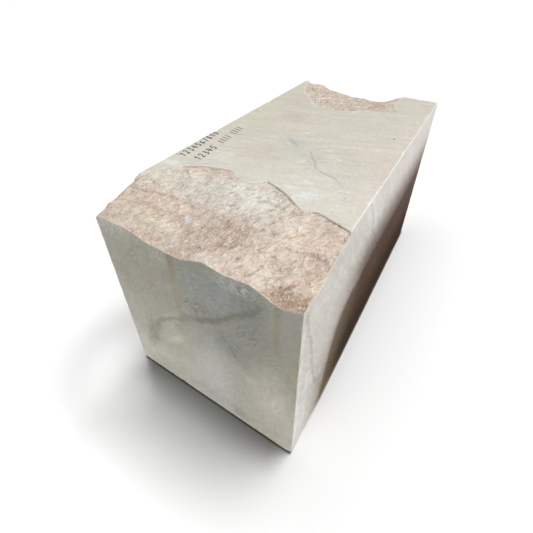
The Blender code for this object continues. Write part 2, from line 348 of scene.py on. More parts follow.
@dataclass(frozen=True)
class Break:
    """A broken patch of the sawn top, which runs out of one end of the block."""

    name: str
    seed: int
    at_far_end: bool
    base: tuple[float, float]  # ends of the line where its cells start, as shares of the width
    cell: float
    rim: Points2  # its outline on the sawn top
    end_depth: Points2  # how far it lies below the sawn top at the end face, as (x, depth)
    rim_drop: Points2  # the height of the small cliff under the rim, as (x, drop)
    bend: Points2  # how it falls from rim to end, as (x, power): under 1 drops early, over 1 drops late
    hollows: Sequence[tuple[float, float, float, float, float]]  # x, y, x radius, y radius, depth
    ledges: Sequence[tuple[float, Points2]]  # (step, points), stepping down on the right of the points
    grain: Grain = Grain()
    ledge_form: Ledges = Ledges()
    rim_run: float = 0.002
    rim_lip: float = 0.0004
    rim_slope: float = 0.8
    calm_rim: float = 0.014
    calm_end: float = 0.03
    least_at_end: float = 0.35
    end_reach: float = 0.034
    end_blur: float = 0.07
    blur_steps: int = 9
    fine_rim: float = 0.004
    fine_end: float = 0.014
    least_fine: float = 0.25
    row_share: float = 0.92  # of the rows that the longest column would need

    def end(self, size: BlockSize) -> float:
        """y of the end face that the break runs out of."""
        return size.length if self.at_far_end else 0.0

    def outline(self, size: BlockSize) -> Array:
        """The rim, cut off exactly at the faces of the block."""
        line = smooth_curve(self.rim)
        if self.at_far_end:
            return cut_at(line, 1, size.length)
        return cut_at(cut_at(line, 0, 0.0), 0, size.width)

    def end_fall(self, x: Array, to_end: Array) -> Array:
        """How far the surface falls by the end: as stated at the end face, and as its mean farther in.

        Args:
            x: places across the block.
            to_end: how far each lies from the end face.

        Returns:
            The fall at each place.
        """
        offsets = np.linspace(-self.end_blur, self.end_blur, self.blur_steps)
        mean = np.mean([along(x + off, self.end_depth) for off in offsets], axis=0)
        return mean + (along(x, self.end_depth) - mean) * np.exp(-to_end / self.end_reach)

    def depth(self, x: Array, y: Array, size: BlockSize) -> Array:
        """How far the broken surface lies below the sawn top.

        Args:
            x: places across the block.
            y: places along the block.
            size: the block's sides.

        Returns:
            The depth at each place, at least that of the rim's lip.
        """
        within = nearest_on(x, y, smooth_curve(self.rim)).gap
        to_end = np.abs(self.end(size) - y)
        share = within / (within + to_end + TINY)
        drop = along(x, self.rim_drop)
        depth = drop * np.clip(within / self.rim_run, 0, 1) ** self.rim_slope
        depth += (self.end_fall(x, to_end) - drop) * share ** along(x, self.bend)
        at_end = self.least_at_end + (1 - self.least_at_end) * eased(to_end / self.calm_end)
        calm = eased(within / self.calm_rim) * at_end
        for hx, hy, rx, ry, extra in self.hollows:
            depth += extra * np.exp(-(((x - hx) / rx) ** 2) - ((y - hy) / ry) ** 2) * calm
        for step, points in self.ledges:
            depth += self.ledge_form.depth(x, y, step, points) * calm
        depth -= self.grain.coarse(x, y, self.seed) * calm
        fine_at_end = self.least_fine + (1 - self.least_fine) * eased(to_end / self.fine_end)
        depth -= self.grain.fine(x, y, self.seed) * eased(within / self.fine_rim) * fine_at_end
        return np.maximum(depth, self.rim_lip)

    def plan(self, size: BlockSize) -> tuple[Array, Array]:
        """Lays out the break's cells, in columns that run from the end face to the rim.

        Args:
            size: the block's sides.

        Returns:
            The x and the y of each point of the grid.
        """
        rim = self.outline(size)
        columns = round(line_length(rim) / self.cell)
        outer = evenly_spaced(rim, columns + 1)
        first, last = (share * size.width for share in self.base)
        level = np.full(columns + 1, self.end(size))
        inner = np.stack([np.linspace(first, last, columns + 1), level], axis=1)
        reach = np.hypot(*(outer - inner).T)
        rows = round(self.row_share * reach.max() / self.cell)
        lip = 1 - self.rim_run / np.maximum(reach, 3 * self.rim_run)
        shares = np.vstack([np.linspace(0, 1, rows)[:, None] * lip, np.ones(columns + 1)])
        x, y = (inner[:, k] + shares * (outer[:, k] - inner[:, k]) for k in range(2))
        return x, y


NEAR = Break(
    name="near_break",
    seed=17,
    at_far_end=False,
    base=(0.0, 1.0),
    cell=0.0015,
    rim=(
        (-0.03, 0.086), (0.000, 0.107), (0.006, 0.118), (0.029, 0.148), (0.046, 0.168), (0.06, 0.179),
        (0.08, 0.191), (0.105, 0.2), (0.145, 0.208), (0.154, 0.199), (0.168, 0.192), (0.196, 0.188),
        (0.211, 0.196), (0.223, 0.21), (0.246, 0.203), (0.272, 0.192), (0.295, 0.177), (0.314, 0.165),
        (0.325, 0.165), (0.342, 0.171), (0.362, 0.166), (0.382, 0.16), (0.407, 0.153), (0.436, 0.146),
    ),
    end_depth=(
        (0.000, 0.036), (0.006, 0.032), (0.035, 0.029), (0.069, 0.027), (0.094, 0.029), (0.127, 0.037),
        (0.165, 0.04), (0.196, 0.037), (0.214, 0.03), (0.228, 0.024), (0.243, 0.02), (0.256, 0.022),
        (0.28, 0.025), (0.304, 0.023), (0.324, 0.02), (0.34, 0.027), (0.356, 0.034), (0.371, 0.037),
        (0.389, 0.033), (0.407, 0.025),
    ),
    rim_drop=(
        (0.000, 0.0006), (0.05, 0.001), (0.062, 0.0024), (0.14, 0.0022), (0.155, 0.001), (0.205, 0.0014),
        (0.222, 0.0028), (0.255, 0.0038), (0.3, 0.0032), (0.318, 0.0014), (0.338, 0.0026), (0.407, 0.003),
    ),
    bend=((0.000, 0.72), (0.06, 0.9), (0.13, 1.25), (0.21, 1.5), (0.3, 1.25), (0.407, 0.75)),
    hollows=(
        (0.215, 0.052, 0.05, 0.034, 0.0065), (0.12, 0.03, 0.04, 0.024, -0.003),
        (0.268, 0.03, 0.026, 0.022, -0.003), (0.345, 0.055, 0.03, 0.022, 0.0026),
        (0.392, 0.07, 0.03, 0.024, 0.0052), (0.3, 0.105, 0.036, 0.022, -0.003),
        (0.045, 0.064, 0.032, 0.02, 0.002), (0.095, 0.13, 0.034, 0.022, 0.002),
        (0.18, 0.15, 0.042, 0.024, -0.0022), (0.258, 0.158, 0.036, 0.02, 0.003),
        (0.15, 0.068, 0.026, 0.018, -0.003), (0.022, 0.03, 0.02, 0.018, -0.0015),
    ),
    ledges=(
        (0.0022, ((0.026, 0.203), (0.046, 0.184), (0.066, 0.168), (0.094, 0.146))),
        (0.0016, (
            (0.004, 0.078), (0.034, 0.085), (0.055, 0.09), (0.092, 0.096), (0.12, 0.098), (0.16, 0.092),
        )),
        (0.0024, ((0.196, 0.034), (0.222, 0.026), (0.24, 0.043), (0.271, 0.057), (0.296, 0.054))),
        (0.0022, ((0.322, 0.074), (0.338, 0.082), (0.356, 0.086), (0.374, 0.091), (0.408, 0.088))),
        (0.002, ((0.305, 0.146), (0.292, 0.12), (0.268, 0.104), (0.236, 0.1))),
        (0.0024, ((0.23, 0.15), (0.256, 0.166), (0.284, 0.158), (0.302, 0.142))),
        (0.002, ((0.38, 0.036), (0.392, 0.046), (0.412, 0.072))),
        (0.0018, ((0.112, 0.172), (0.146, 0.162), (0.17, 0.168), (0.2, 0.158))),
    ),
)

FAR = Break(
    name="far_break",
    seed=63,
    at_far_end=True,
    base=(0.123, 0.664),
    cell=0.0019,
    rim=(
        (0.008, 0.8248), (0.013, 0.797), (0.024, 0.76), (0.041, 0.72), (0.062, 0.687), (0.09, 0.655),
        (0.112, 0.63), (0.134, 0.613), (0.158, 0.617), (0.19, 0.611), (0.22, 0.62), (0.24, 0.637),
        (0.262, 0.653), (0.284, 0.658), (0.308, 0.666), (0.326, 0.677), (0.316, 0.704), (0.306, 0.728),
        (0.304, 0.755), (0.308, 0.79), (0.314, 0.8248),
    ),
    end_depth=(
        (0.000, 0.004), (0.017, 0.008), (0.046, 0.007), (0.063, 0.008), (0.08, 0.017), (0.113, 0.021),
        (0.149, 0.025), (0.162, 0.028), (0.199, 0.025), (0.236, 0.032), (0.262, 0.028), (0.28, 0.019),
        (0.297, 0.011), (0.312, 0.003), (0.407, 0.002),
    ),
    rim_drop=((0.000, 0.0015), (0.06, 0.003), (0.134, 0.005), (0.22, 0.003), (0.3, 0.0018)),
    bend=((0.000, 0.8), (0.1, 0.75), (0.23, 0.95), (0.3, 1.1)),
    hollows=(
        (0.11, 0.682, 0.026, 0.022, 0.0055), (0.18, 0.7, 0.036, 0.034, -0.003),
        (0.25, 0.74, 0.04, 0.034, 0.004), (0.15, 0.775, 0.04, 0.026, 0.003),
        (0.052, 0.77, 0.024, 0.03, -0.0015), (0.215, 0.66, 0.03, 0.02, 0.002),
    ),
    ledges=(
        (0.0034, ((0.262, 0.69), (0.228, 0.684), (0.196, 0.668), (0.16, 0.656), (0.126, 0.664))),
        (0.004, (
            (0.296, 0.748), (0.25, 0.722), (0.206, 0.73), (0.168, 0.742), (0.128, 0.73), (0.09, 0.742),
        )),
        (0.003, ((0.118, 0.8), (0.094, 0.778), (0.078, 0.75), (0.076, 0.716))),
    ),
)


# ---- The mesh ----


class Side(Enum):
    """A side of the block, with the axes that its own u and v run along, and the axis that it faces."""

    TOP = ("top", 0, 1, 2, 1)
    BASE = ("base", 0, 1, 2, 0)
    NEAR_END = ("near_end", 0, 2, 1, 0)
    FAR_END = ("far_end", 0, 2, 1, 1)
    RIGHT = ("right", 1, 2, 0, 1)
    LEFT = ("left", 1, 2, 0, 0)

    def __init__(self, label: str, u: int, v: int, facing: int, high: int) -> None:
        """Names the parts of the value."""
        self.label, self.u, self.v, self.facing, self.high = label, u, v, facing, high


@dataclass
class Sheet:
    """Part of the block's skin: points, faces, and what the finish reads at each point."""

    points: Array
    faces: list[tuple[int, ...]]
    finishes: list[int]  # the number of each face's finish
    edge: Array  # distance to the nearest edge of the stone
    hollow: Array  # how far the stone lies below its surroundings, close by
    rim: Array  # distance to the rim of a break


# Each sign as lines of the pen, in a box 0.6 wide and 1 high.
SIGNS: dict[str, Sequence[Points2]] = {
    "0": (((0.3, 1.0), (0.08, 0.8), (0.05, 0.3), (0.25, 0.0), (0.5, 0.2), (0.54, 0.7), (0.36, 0.98)),),
    "1": (((0.16, 0.76), (0.34, 1.0), (0.33, 0.0)),),
    "2": (((0.05, 0.78), (0.24, 1.0), (0.5, 0.84), (0.38, 0.46), (0.04, 0.02)),
          ((0.04, 0.02), (0.58, 0.05))),
    "3": (((0.06, 0.92), (0.34, 0.98), (0.48, 0.74), (0.22, 0.55)),
          ((0.22, 0.55), (0.54, 0.34), (0.36, 0.0), (0.04, 0.1))),
    "4": (((0.2, 0.98), (0.03, 0.36)), ((0.03, 0.36), (0.6, 0.38)), ((0.45, 0.78), (0.4, 0.0))),
    "5": (((0.55, 0.98), (0.14, 0.95)), ((0.14, 0.95), (0.08, 0.56)),
          ((0.08, 0.56), (0.48, 0.52), (0.44, 0.08), (0.04, 0.06))),
    "6": (((0.44, 0.98), (0.12, 0.62), (0.1, 0.1), (0.44, 0.04), (0.48, 0.38), (0.1, 0.36)),),
    "7": (((0.03, 0.95), (0.58, 0.98)), ((0.58, 0.98), (0.2, 0.0))),
    "8": (((0.5, 0.86), (0.2, 0.98), (0.12, 0.68), (0.46, 0.4), (0.42, 0.02), (0.12, 0.06), (0.16, 0.42),
           (0.52, 0.84)),),
    "9": (((0.5, 0.9), (0.16, 0.96), (0.14, 0.58), (0.5, 0.66)), ((0.52, 0.92), (0.44, 0.0))),
    "|": (((0.16, 0.98), (0.12, 0.02)),),
}


@dataclass(frozen=True)
class Stroke:
    """A short piece of a pen line, as the outline of a region of the surface."""

    outline: Array
    finish: int


@dataclass(frozen=True)
class Note:
    """A row of signs written along the block, their tops towards its left side. Sizes are in mm."""

    text: str
    start: tuple[float, float]  # x of the foot of the signs, and y of the first one
    slope: float  # how far the row strays to the left for each mm along it
    height: float
    pitch: float
    pen: float = 2.5
    seed: int = 1
    finish: int = len(Side) + 2
    # The hand: each of these is a share of a sign's height.
    usual: float = 0.92
    sway: float = 0.16
    lift: float = 0.05
    spread: float = 0.62
    slant: float = 0.16
    step: float = 0.37  # how far apart in the noise two signs are read

    def strokes(self) -> list[Stroke]:
        """Writes the row.

        Returns:
            The pieces of every line of every sign.
        """
        found = []
        for number, sign in enumerate(self.text):
            spot = self.seed + self.step * number
            sway = noise_at(np.array([[spot, 0.5, 0.5], [spot, 7.5, 0.5]]), 0.31, self.seed)
            for line in SIGNS.get(sign, ()):
                drawn = smooth_curve(line, 2)
                tall = self.height * (self.usual + self.sway * sway[0])
                across = tall * (drawn[:, 1] + self.lift * sway[1])
                along_row = self.height * self.spread * (drawn[:, 0] + self.slant * drawn[:, 1])
                along_row += self.pitch * number
                x = self.start[0] - across - self.slope * along_row
                found += self.pieces(np.stack([x, self.start[1] + along_row], axis=1) * MM)
        return found

    def pieces(self, line: Array) -> list[Stroke]:
        """Cuts one line into rounded pieces that follow on each other.

        Args:
            line: the line's points.

        Returns:
            One stroke for each stretch between two points.
        """
        half = 0.5 * self.pen * MM
        ahead, aside = 0.8, 0.6  # where the bevel of a round end lies, in pen radii
        made = []
        for a, b in zip(line, line[1:]):
            run = (b - a) / np.linalg.norm(b - a)
            side = np.array([-run[1], run[0]])
            corners = [(b, run, side, sign) for sign in (-1, 1)] + [(a, -run, side, sign) for sign in (1, -1)]
            rounded = []
            for end, out, across, sign in corners:
                bevel = [end + half * sign * across, end + half * (ahead * out + aside * sign * across)]
                rounded += bevel if (end is b) == (sign < 0) else bevel[::-1]
            made.append(Stroke(np.array(rounded), self.finish))
        return made


NOTES = (
    Note("1234567890", (26.5, 204.0), 0.075, 18.0, 13.3, seed=3),
    Note("12345", (64.0, 208.0), 0.06, 20.0, 13.6, seed=9),
    Note("|||| ||||", (57.0, 294.0), 0.1, 20.0, 10.6, seed=14),
    Note("|", (10.0, 203.0), 0.0, 6.0, 10.0, pen=2.2, seed=21, finish=len(Side) + 3),
)


@dataclass(frozen=True)
class WornEdges:
    """How handling has blunted and chipped the sawn edges."""

    flat: float = 0.0008
    sway: float = 0.0004
    nicks: float = 0.0012
    softness: float = 0.0003
    # Bruises, as (x, y, z, radius). Each of the first three is a share of the block's side.
    chips: Sequence[tuple[float, float, float, float]] = (
        (1.0, 0.0, 0.0, 0.006), (1.0, 0.0, 0.36, 0.0024), (1.0, 0.0, 0.71, 0.0028),
        (1.0, 0.3, 1.0, 0.0062), (1.0, 0.345, 1.0, 0.0046), (1.0, 0.56, 1.0, 0.005),
        (1.0, 0.83, 1.0, 0.0058), (0.0, 0.42, 1.0, 0.0046), (0.0, 0.71, 1.0, 0.0058),
        (0.88, 1.0, 1.0, 0.0056), (0.0, 0.0, 0.52, 0.002), (0.31, 0.0, 0.0, 0.004),
        (0.0, 0.55, 0.0, 0.0062), (0.0, 1.0, 0.33, 0.0066), (1.0, 1.0, 0.0, 0.0085),
        (0.45, 1.0, 0.0, 0.006), (1.0, 1.0, 0.62, 0.005),
    )
    chip_reach: float = 1.9
    chip_share: float = 0.45
    chip_grain: float = 0.3
    felt: float = 0.012  # how far from an edge its wear is looked for
    least: float = 0.0002
    # The sizes of the noise that each kind of wear follows along an edge.
    sway_size: float = 0.016
    ripple_size: float = 0.005
    nick_size: float = 0.021
    grain_size: float = 0.003
    nick_level: float = 0.38  # only what stands above this becomes a nick
    keys: tuple[float, float, float] = (17.0, 5.0, 11.0)  # these give each edge its own noise

    def worn(self, points: Array, size: BlockSize) -> Array:
        """Moves points in wherever they stand past the blunted edges.

        Args:
            points: rows of x, y, z.
            size: the block's sides.

        Returns:
            The points after all twelve edges.
        """
        for run in range(3):
            first, second = (k for k in range(3) if k != run)
            for high_first in (0, 1):
                for high_second in (0, 1):
                    points = self.blunted(points, size, run, (first, high_first), (second, high_second))
        return points

    def blunted(
        self, points: Array, size: BlockSize, run: int, one: tuple[int, int], other: tuple[int, int]
    ) -> Array:
        """Blunts one edge.

        Args:
            points: rows of x, y, z.
            size: the block's sides.
            run: the axis that the edge runs along.
            one: an axis that the edge is at an end of, and which end (0 or 1).
            other: the other such axis and end.

        Returns:
            The points, with those past the edge's flat moved onto it.
        """
        out = np.zeros(3)
        corner = np.zeros(3)
        for axis, high in (one, other):
            out[axis] = (2 * high - 1) / math.sqrt(2)
            corner[axis] = high * size.sides[axis]
        past = (points - corner) @ out
        near = np.flatnonzero(past > -self.felt)
        if not len(near):
            return points
        s = points[near, run]
        key = float(np.dot(self.keys, (run, one[1], other[1])))
        place = np.stack([s, np.full(len(s), key * 0.01), np.zeros(len(s))], axis=1)
        cut = self.flat + self.sway * noise_at(place, self.sway_size, key)
        cut += 0.5 * self.sway * noise_at(place, self.ripple_size, key)
        nick = noise_at(place, self.nick_size, key + 3) - self.nick_level
        cut += self.nicks * np.clip(nick, 0, None) * 2
        for *shares, radius in self.chips:
            if all(shares[axis] == high for axis, high in (one, other)):
                off = (s - shares[run] * size.sides[run]) / (radius * self.chip_reach)
                rough = 1 + self.chip_grain * noise_at(place, self.grain_size)
                cut += radius * self.chip_share * np.clip(1 - off**2, 0, None) * rough
        over = past[near] + np.clip(cut, self.least, None)
        moved = 0.5 * (over + np.sqrt(over**2 + self.softness**2))
        moved = np.where(over > -4 * self.softness, moved, 0)
        result = points.copy()
        result[near] -= moved[:, None] * out
        return result


@dataclass
class FlatSide:
    """One sawn side: a flat region inside a closed outline, meshed finely near its edges."""

    side: Side
    size: BlockSize
    outline: Array
    strokes: Sequence[Stroke] = ()
    rows: Sequence[float] = (0.0009, 0.002, 0.004, 0.008)
    spacing: float = 0.028
    row_room: float = 0.75  # how near to the outline a row's point may lie, as a share of its offset
    grid_room: float = 0.6  # and a point of the coarse grid, as a share of the spacing
    weld: float = 1e-7

    @property
    def level(self) -> float:
        """Where the side lies on the axis that it faces."""
        return self.side.high * self.size.sides[self.side.facing]

    def inner_points(self, loop: Array) -> Array:
        """Places points in the region: rows just inside the outline, and a coarse grid farther in.

        Args:
            loop: the outline on the side's own axes.

        Returns:
            The points on the same axes.
        """
        ahead, behind = np.roll(loop, -1, axis=0), np.roll(loop, 1, axis=0)
        run = ahead - behind
        area = 0.5 * np.sum(loop[:, 0] * ahead[:, 1] - ahead[:, 0] * loop[:, 1])
        inward = np.stack([-run[:, 1], run[:, 0]], axis=1) * math.copysign(1.0, area)
        inward /= np.linalg.norm(inward, axis=1)[:, None]
        closed = np.vstack([loop, loop[:1]])
        found = []
        for number, off in enumerate(self.rows):
            step = max(1, number)
            row = (loop + inward * off)[::step]
            found.append(row[nearest_on(*row.T, closed).gap > self.row_room * off])
        low, high = loop.min(axis=0), loop.max(axis=0)
        counts = [max(2, round((b - a) / self.spacing)) for a, b in zip(low, high)]
        lines = (np.linspace(a, b, n) for a, b, n in zip(low, high, counts))
        grid = np.stack(np.meshgrid(*lines), axis=-1).reshape(-1, 2)
        grid = grid[nearest_on(*grid.T, closed).gap > self.grid_room * self.spacing]
        return np.vstack([*found, grid])

    def sheet(self) -> Sheet:
        """Fills the outline with triangles.

        Returns:
            The side's part of the skin.
        """
        loop = self.outline[:, (self.side.u, self.side.v)]
        inner = self.inner_points(loop)
        flat = np.vstack([loop, inner])
        count = len(loop)
        border = list(range(count))
        edges = list(zip(border, border[1:] + border[:1]))
        regions = [border]
        for stroke in self.strokes:
            regions.append(list(range(len(flat), len(flat) + len(stroke.outline))))
            flat = np.vstack([flat, stroke.outline])
        made = geometry.delaunay_2d_cdt([Vector(p) for p in flat], edges, regions, 0, self.weld, True)
        places, sources = made[0], made[3]
        within = [(face, inside) for face, inside in zip(made[2], made[5]) if 0 in inside]
        plain = list(Side).index(self.side)
        points = np.empty((len(places), 3))
        points[:, self.side.u] = [p[0] for p in places]
        points[:, self.side.v] = [p[1] for p in places]
        points[:, self.side.facing] = self.level
        for k, source in enumerate(sources):
            if source and source[0] < count:
                points[k] = self.outline[source[0]]
        closed = np.vstack([loop, loop[:1]])
        edge = nearest_on(points[:, self.side.u], points[:, self.side.v], closed).gap
        none = np.zeros(len(points))
        finishes = [self.strokes[max(inside) - 1].finish if max(inside) else plain for _, inside in within]
        return Sheet(points, [tuple(face) for face, _ in within], finishes, edge, none, none + 1.0)


@dataclass
class BrokenPatch:
    """The rough floor of a break, as a grid of cells from the end face to the rim."""

    spot: Break
    size: BlockSize
    finish: int
    # How far around a point its surroundings reach, in cells, and how much each reach counts for.
    surroundings: Sequence[tuple[int, float]] = ((2, 0.6), (6, 0.4))
    grid: Array = field(init=False)

    def __post_init__(self) -> None:
        """Places the grid's points."""
        x, y = self.spot.plan(self.size)
        self.grid = np.stack([x, y, self.size.height - self.spot.depth(x, y, self.size)], axis=-1)

    @property
    def rim(self) -> Array:
        """The points along the rim, from left to right."""
        return self.grid[-1]

    @property
    def end_line(self) -> Array:
        """The points along the end face, from left to right."""
        if self.spot.at_far_end:
            return np.vstack([self.grid[:0:-1, 0], self.grid[0], self.grid[1:, -1]])
        return self.grid[0]

    @staticmethod
    def blurred(values: Array, reach: int) -> Array:
        """Averages a grid of values over a square of cells around each.

        Args:
            values: the grid.
            reach: how far the square reaches from its middle.

        Returns:
            A grid of the same shape.
        """
        for axis in (0, 1):
            before = np.repeat(values.take([0], axis), reach, axis)
            after = np.repeat(values.take([-1], axis), reach + 1, axis)
            summed = np.cumsum(np.concatenate([before, values, after], axis), axis)
            count = values.shape[axis]
            upper = summed.take(range(2 * reach, 2 * reach + count), axis)
            first = summed.take(range(0, count), axis)
            values = (upper - first) / (2 * reach)
        return values

    def sheet(self) -> Sheet:
        """Joins the grid's points into cells, folded so that crests stay crisp.

        Returns:
            The break's part of the skin.
        """
        rows, columns = self.grid.shape[:2]
        z = self.grid[..., 2]
        number = np.arange(rows * columns).reshape(rows, columns)
        a, b, c, d = number[:-1, :-1], number[:-1, 1:], number[1:, 1:], number[1:, :-1]
        along_ac = np.abs(z[:-1, :-1] - z[1:, 1:]) < np.abs(z[:-1, 1:] - z[1:, :-1])
        halves = (((a, a), (b, b), (c, d)), ((a, b), (c, c), (d, d)))
        faces = np.concatenate(
            [np.stack([np.where(along_ac, p, q) for p, q in half], -1).reshape(-1, 3) for half in halves]
        )
        hollow = sum(share * (self.blurred(z, reach) - z) for reach, share in self.surroundings)
        x, y = self.grid[..., 0], self.grid[..., 1]
        rim = nearest_on(x, y, self.rim[:, :2]).gap
        border = np.vstack([self.grid[::-1, 0, :2], self.grid[0, 1:, :2], self.grid[1:, -1, :2]])
        edge = np.minimum(rim, nearest_on(x, y, border).gap)
        return Sheet(
            self.grid.reshape(-1, 3), [tuple(f) for f in faces.tolist()], [self.finish] * len(faces),
            edge.ravel(), hollow.ravel(), rim.ravel(),
        )


def ring(*lines: Array) -> Array:
    """One closed outline from lines that follow on each other."""
    return np.vstack([line[:-1] for line in lines])


@dataclass
class MarbleBlock:
    """The whole stone: five sawn sides and a sawn top, less its two breaks."""

    size: BlockSize
    wear: WornEdges = WornEdges()
    step: float = 0.003
    sharp: float = math.radians(38)
    weld: float = 1e-5
    speck: float = 1e-6
    breaks: tuple[Break, Break] = (NEAR, FAR)
    notes: Sequence[Note] = NOTES

    def straight(self, start: Iterable[float], end: Iterable[float]) -> Array:
        """Cuts a straight edge into short steps.

        Args:
            start: its start.
            end: its end.

        Returns:
            Rows of x, y, z, with both ends.
        """
        ends = np.array([list(start), list(end)], float)
        count = max(2, round(float(np.linalg.norm(ends[1] - ends[0])) / self.step))
        return np.linspace(*ends, count + 1)

    def outlines(self, near: BrokenPatch, far: BrokenPatch) -> dict[Side, Array]:
        """Draws the outline of each sawn side, which shares its points with its neighbours'.

        Args:
            near: the break at the near end.
            far: the break at the far end.

        Returns:
            Each side's closed outline.
        """
        w, l, h = self.size.sides
        base_near, base_far = self.straight((0, 0, 0), (w, 0, 0)), self.straight((0, l, 0), (w, l, 0))
        base_left, base_right = self.straight((0, 0, 0), (0, l, 0)), self.straight((w, 0, 0), (w, l, 0))
        near_left = self.straight((0, 0, 0), near.end_line[0])
        near_right = self.straight((w, 0, 0), near.end_line[-1])
        far_left, far_right = self.straight((0, l, 0), (0, l, h)), self.straight((w, l, 0), (w, l, h))
        top_left, top_right = self.straight(near.rim[0], (0, l, h)), self.straight(near.rim[-1], (w, l, h))
        behind_left = self.straight((0, l, h), far.rim[0])
        behind_right = self.straight(far.rim[-1], (w, l, h))
        return {
            Side.TOP: ring(
                near.rim, top_right, behind_right[::-1], far.rim[::-1], behind_left[::-1], top_left[::-1]
            ),
            Side.BASE: ring(base_near, base_right, base_far[::-1], base_left[::-1]),
            Side.NEAR_END: ring(base_near, near_right, near.end_line[::-1], near_left[::-1]),
            Side.FAR_END: ring(
                base_far, far_right, behind_right[::-1], far.end_line[::-1], behind_left[::-1], far_left[::-1]
            ),
            Side.RIGHT: ring(
                base_right, far_right, top_right[::-1], near.grid[::-1, -1], near_right[::-1]
            ),
            Side.LEFT: ring(base_left, far_left, top_left[::-1], near.grid[::-1, 0], near_left[::-1]),
        }

    def sheets(self) -> list[Sheet]:
        """Makes every part of the stone's skin.

        Returns:
            The sawn sides in the order of their outlines, then the two breaks.
        """
        near, far = (
            BrokenPatch(spot, self.size, len(Side) + number) for number, spot in enumerate(self.breaks)
        )
        written = {Side.TOP: [stroke for note in self.notes for stroke in note.strokes()]}
        flats = [
            FlatSide(side, self.size, line, written.get(side, ())).sheet()
            for side, line in self.outlines(near, far).items()
        ]
        return [*flats, near.sheet(), far.sheet()]

    def mesh(self) -> bpy.types.Mesh:
        """Joins the sheets into one closed skin, wears its edges, and keeps what the finishes read.

        Returns:
            The mesh, in the frame's axes.
        """
        sheets = self.sheets()
        starts = np.cumsum([0] + [len(s.points) for s in sheets])
        points = np.vstack([s.points for s in sheets])
        faces = [tuple(v + start for v in f) for s, start in zip(sheets, starts) for f in s.faces]
        mesh = bpy.data.meshes.new(NODE)
        mesh.from_pydata(points.tolist(), [], faces)
        mesh.polygons.foreach_set("material_index", [finish for s in sheets for finish in s.finishes])
        for name in ("edge", "hollow", "rim"):
            values = np.concatenate([getattr(s, name) for s in sheets]) / MM
            mesh.attributes.new(f"{name}_mm", "FLOAT", "POINT").data.foreach_set("value", values)
        shell = bmesh.new()
        shell.from_mesh(mesh)
        bmesh.ops.remove_doubles(shell, verts=shell.verts, dist=self.weld)
        bmesh.ops.dissolve_degenerate(shell, edges=shell.edges, dist=self.speck)
        bmesh.ops.recalc_face_normals(shell, faces=shell.faces)
        shell.to_mesh(mesh)
        shell.free()
        places = np.empty(len(mesh.vertices) * 3)
        mesh.vertices.foreach_get("co", places)
        places = self.wear.worn(places.reshape(-1, 3), self.size) + np.array(self.size.corner)
        mesh.vertices.foreach_set("co", places.ravel())
        mesh.update()
        mesh.shade_smooth()
        mesh.set_sharp_from_angle(angle=self.sharp)
        return mesh

    def build(self, finishes: Sequence[bpy.types.Material]) -> bpy.types.Object:
        """Makes the stone and dresses it.

        Args:
            finishes: one material for each side, in their order, and one for each break.

        Returns:
            The object, which rides on the frame's only body.
        """
        mesh = self.mesh()
        for material in finishes:
            mesh.materials.append(material)
        block = bpy.data.objects.new("stone", mesh)
        bpy.context.scene.collection.objects.link(block)
        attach(block, "root")
        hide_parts(NODE)
        log.info("%s: %d points, %d faces", block.name, len(mesh.vertices), len(mesh.polygons))
        return block


# ---- Shader nodes and shared effects ----


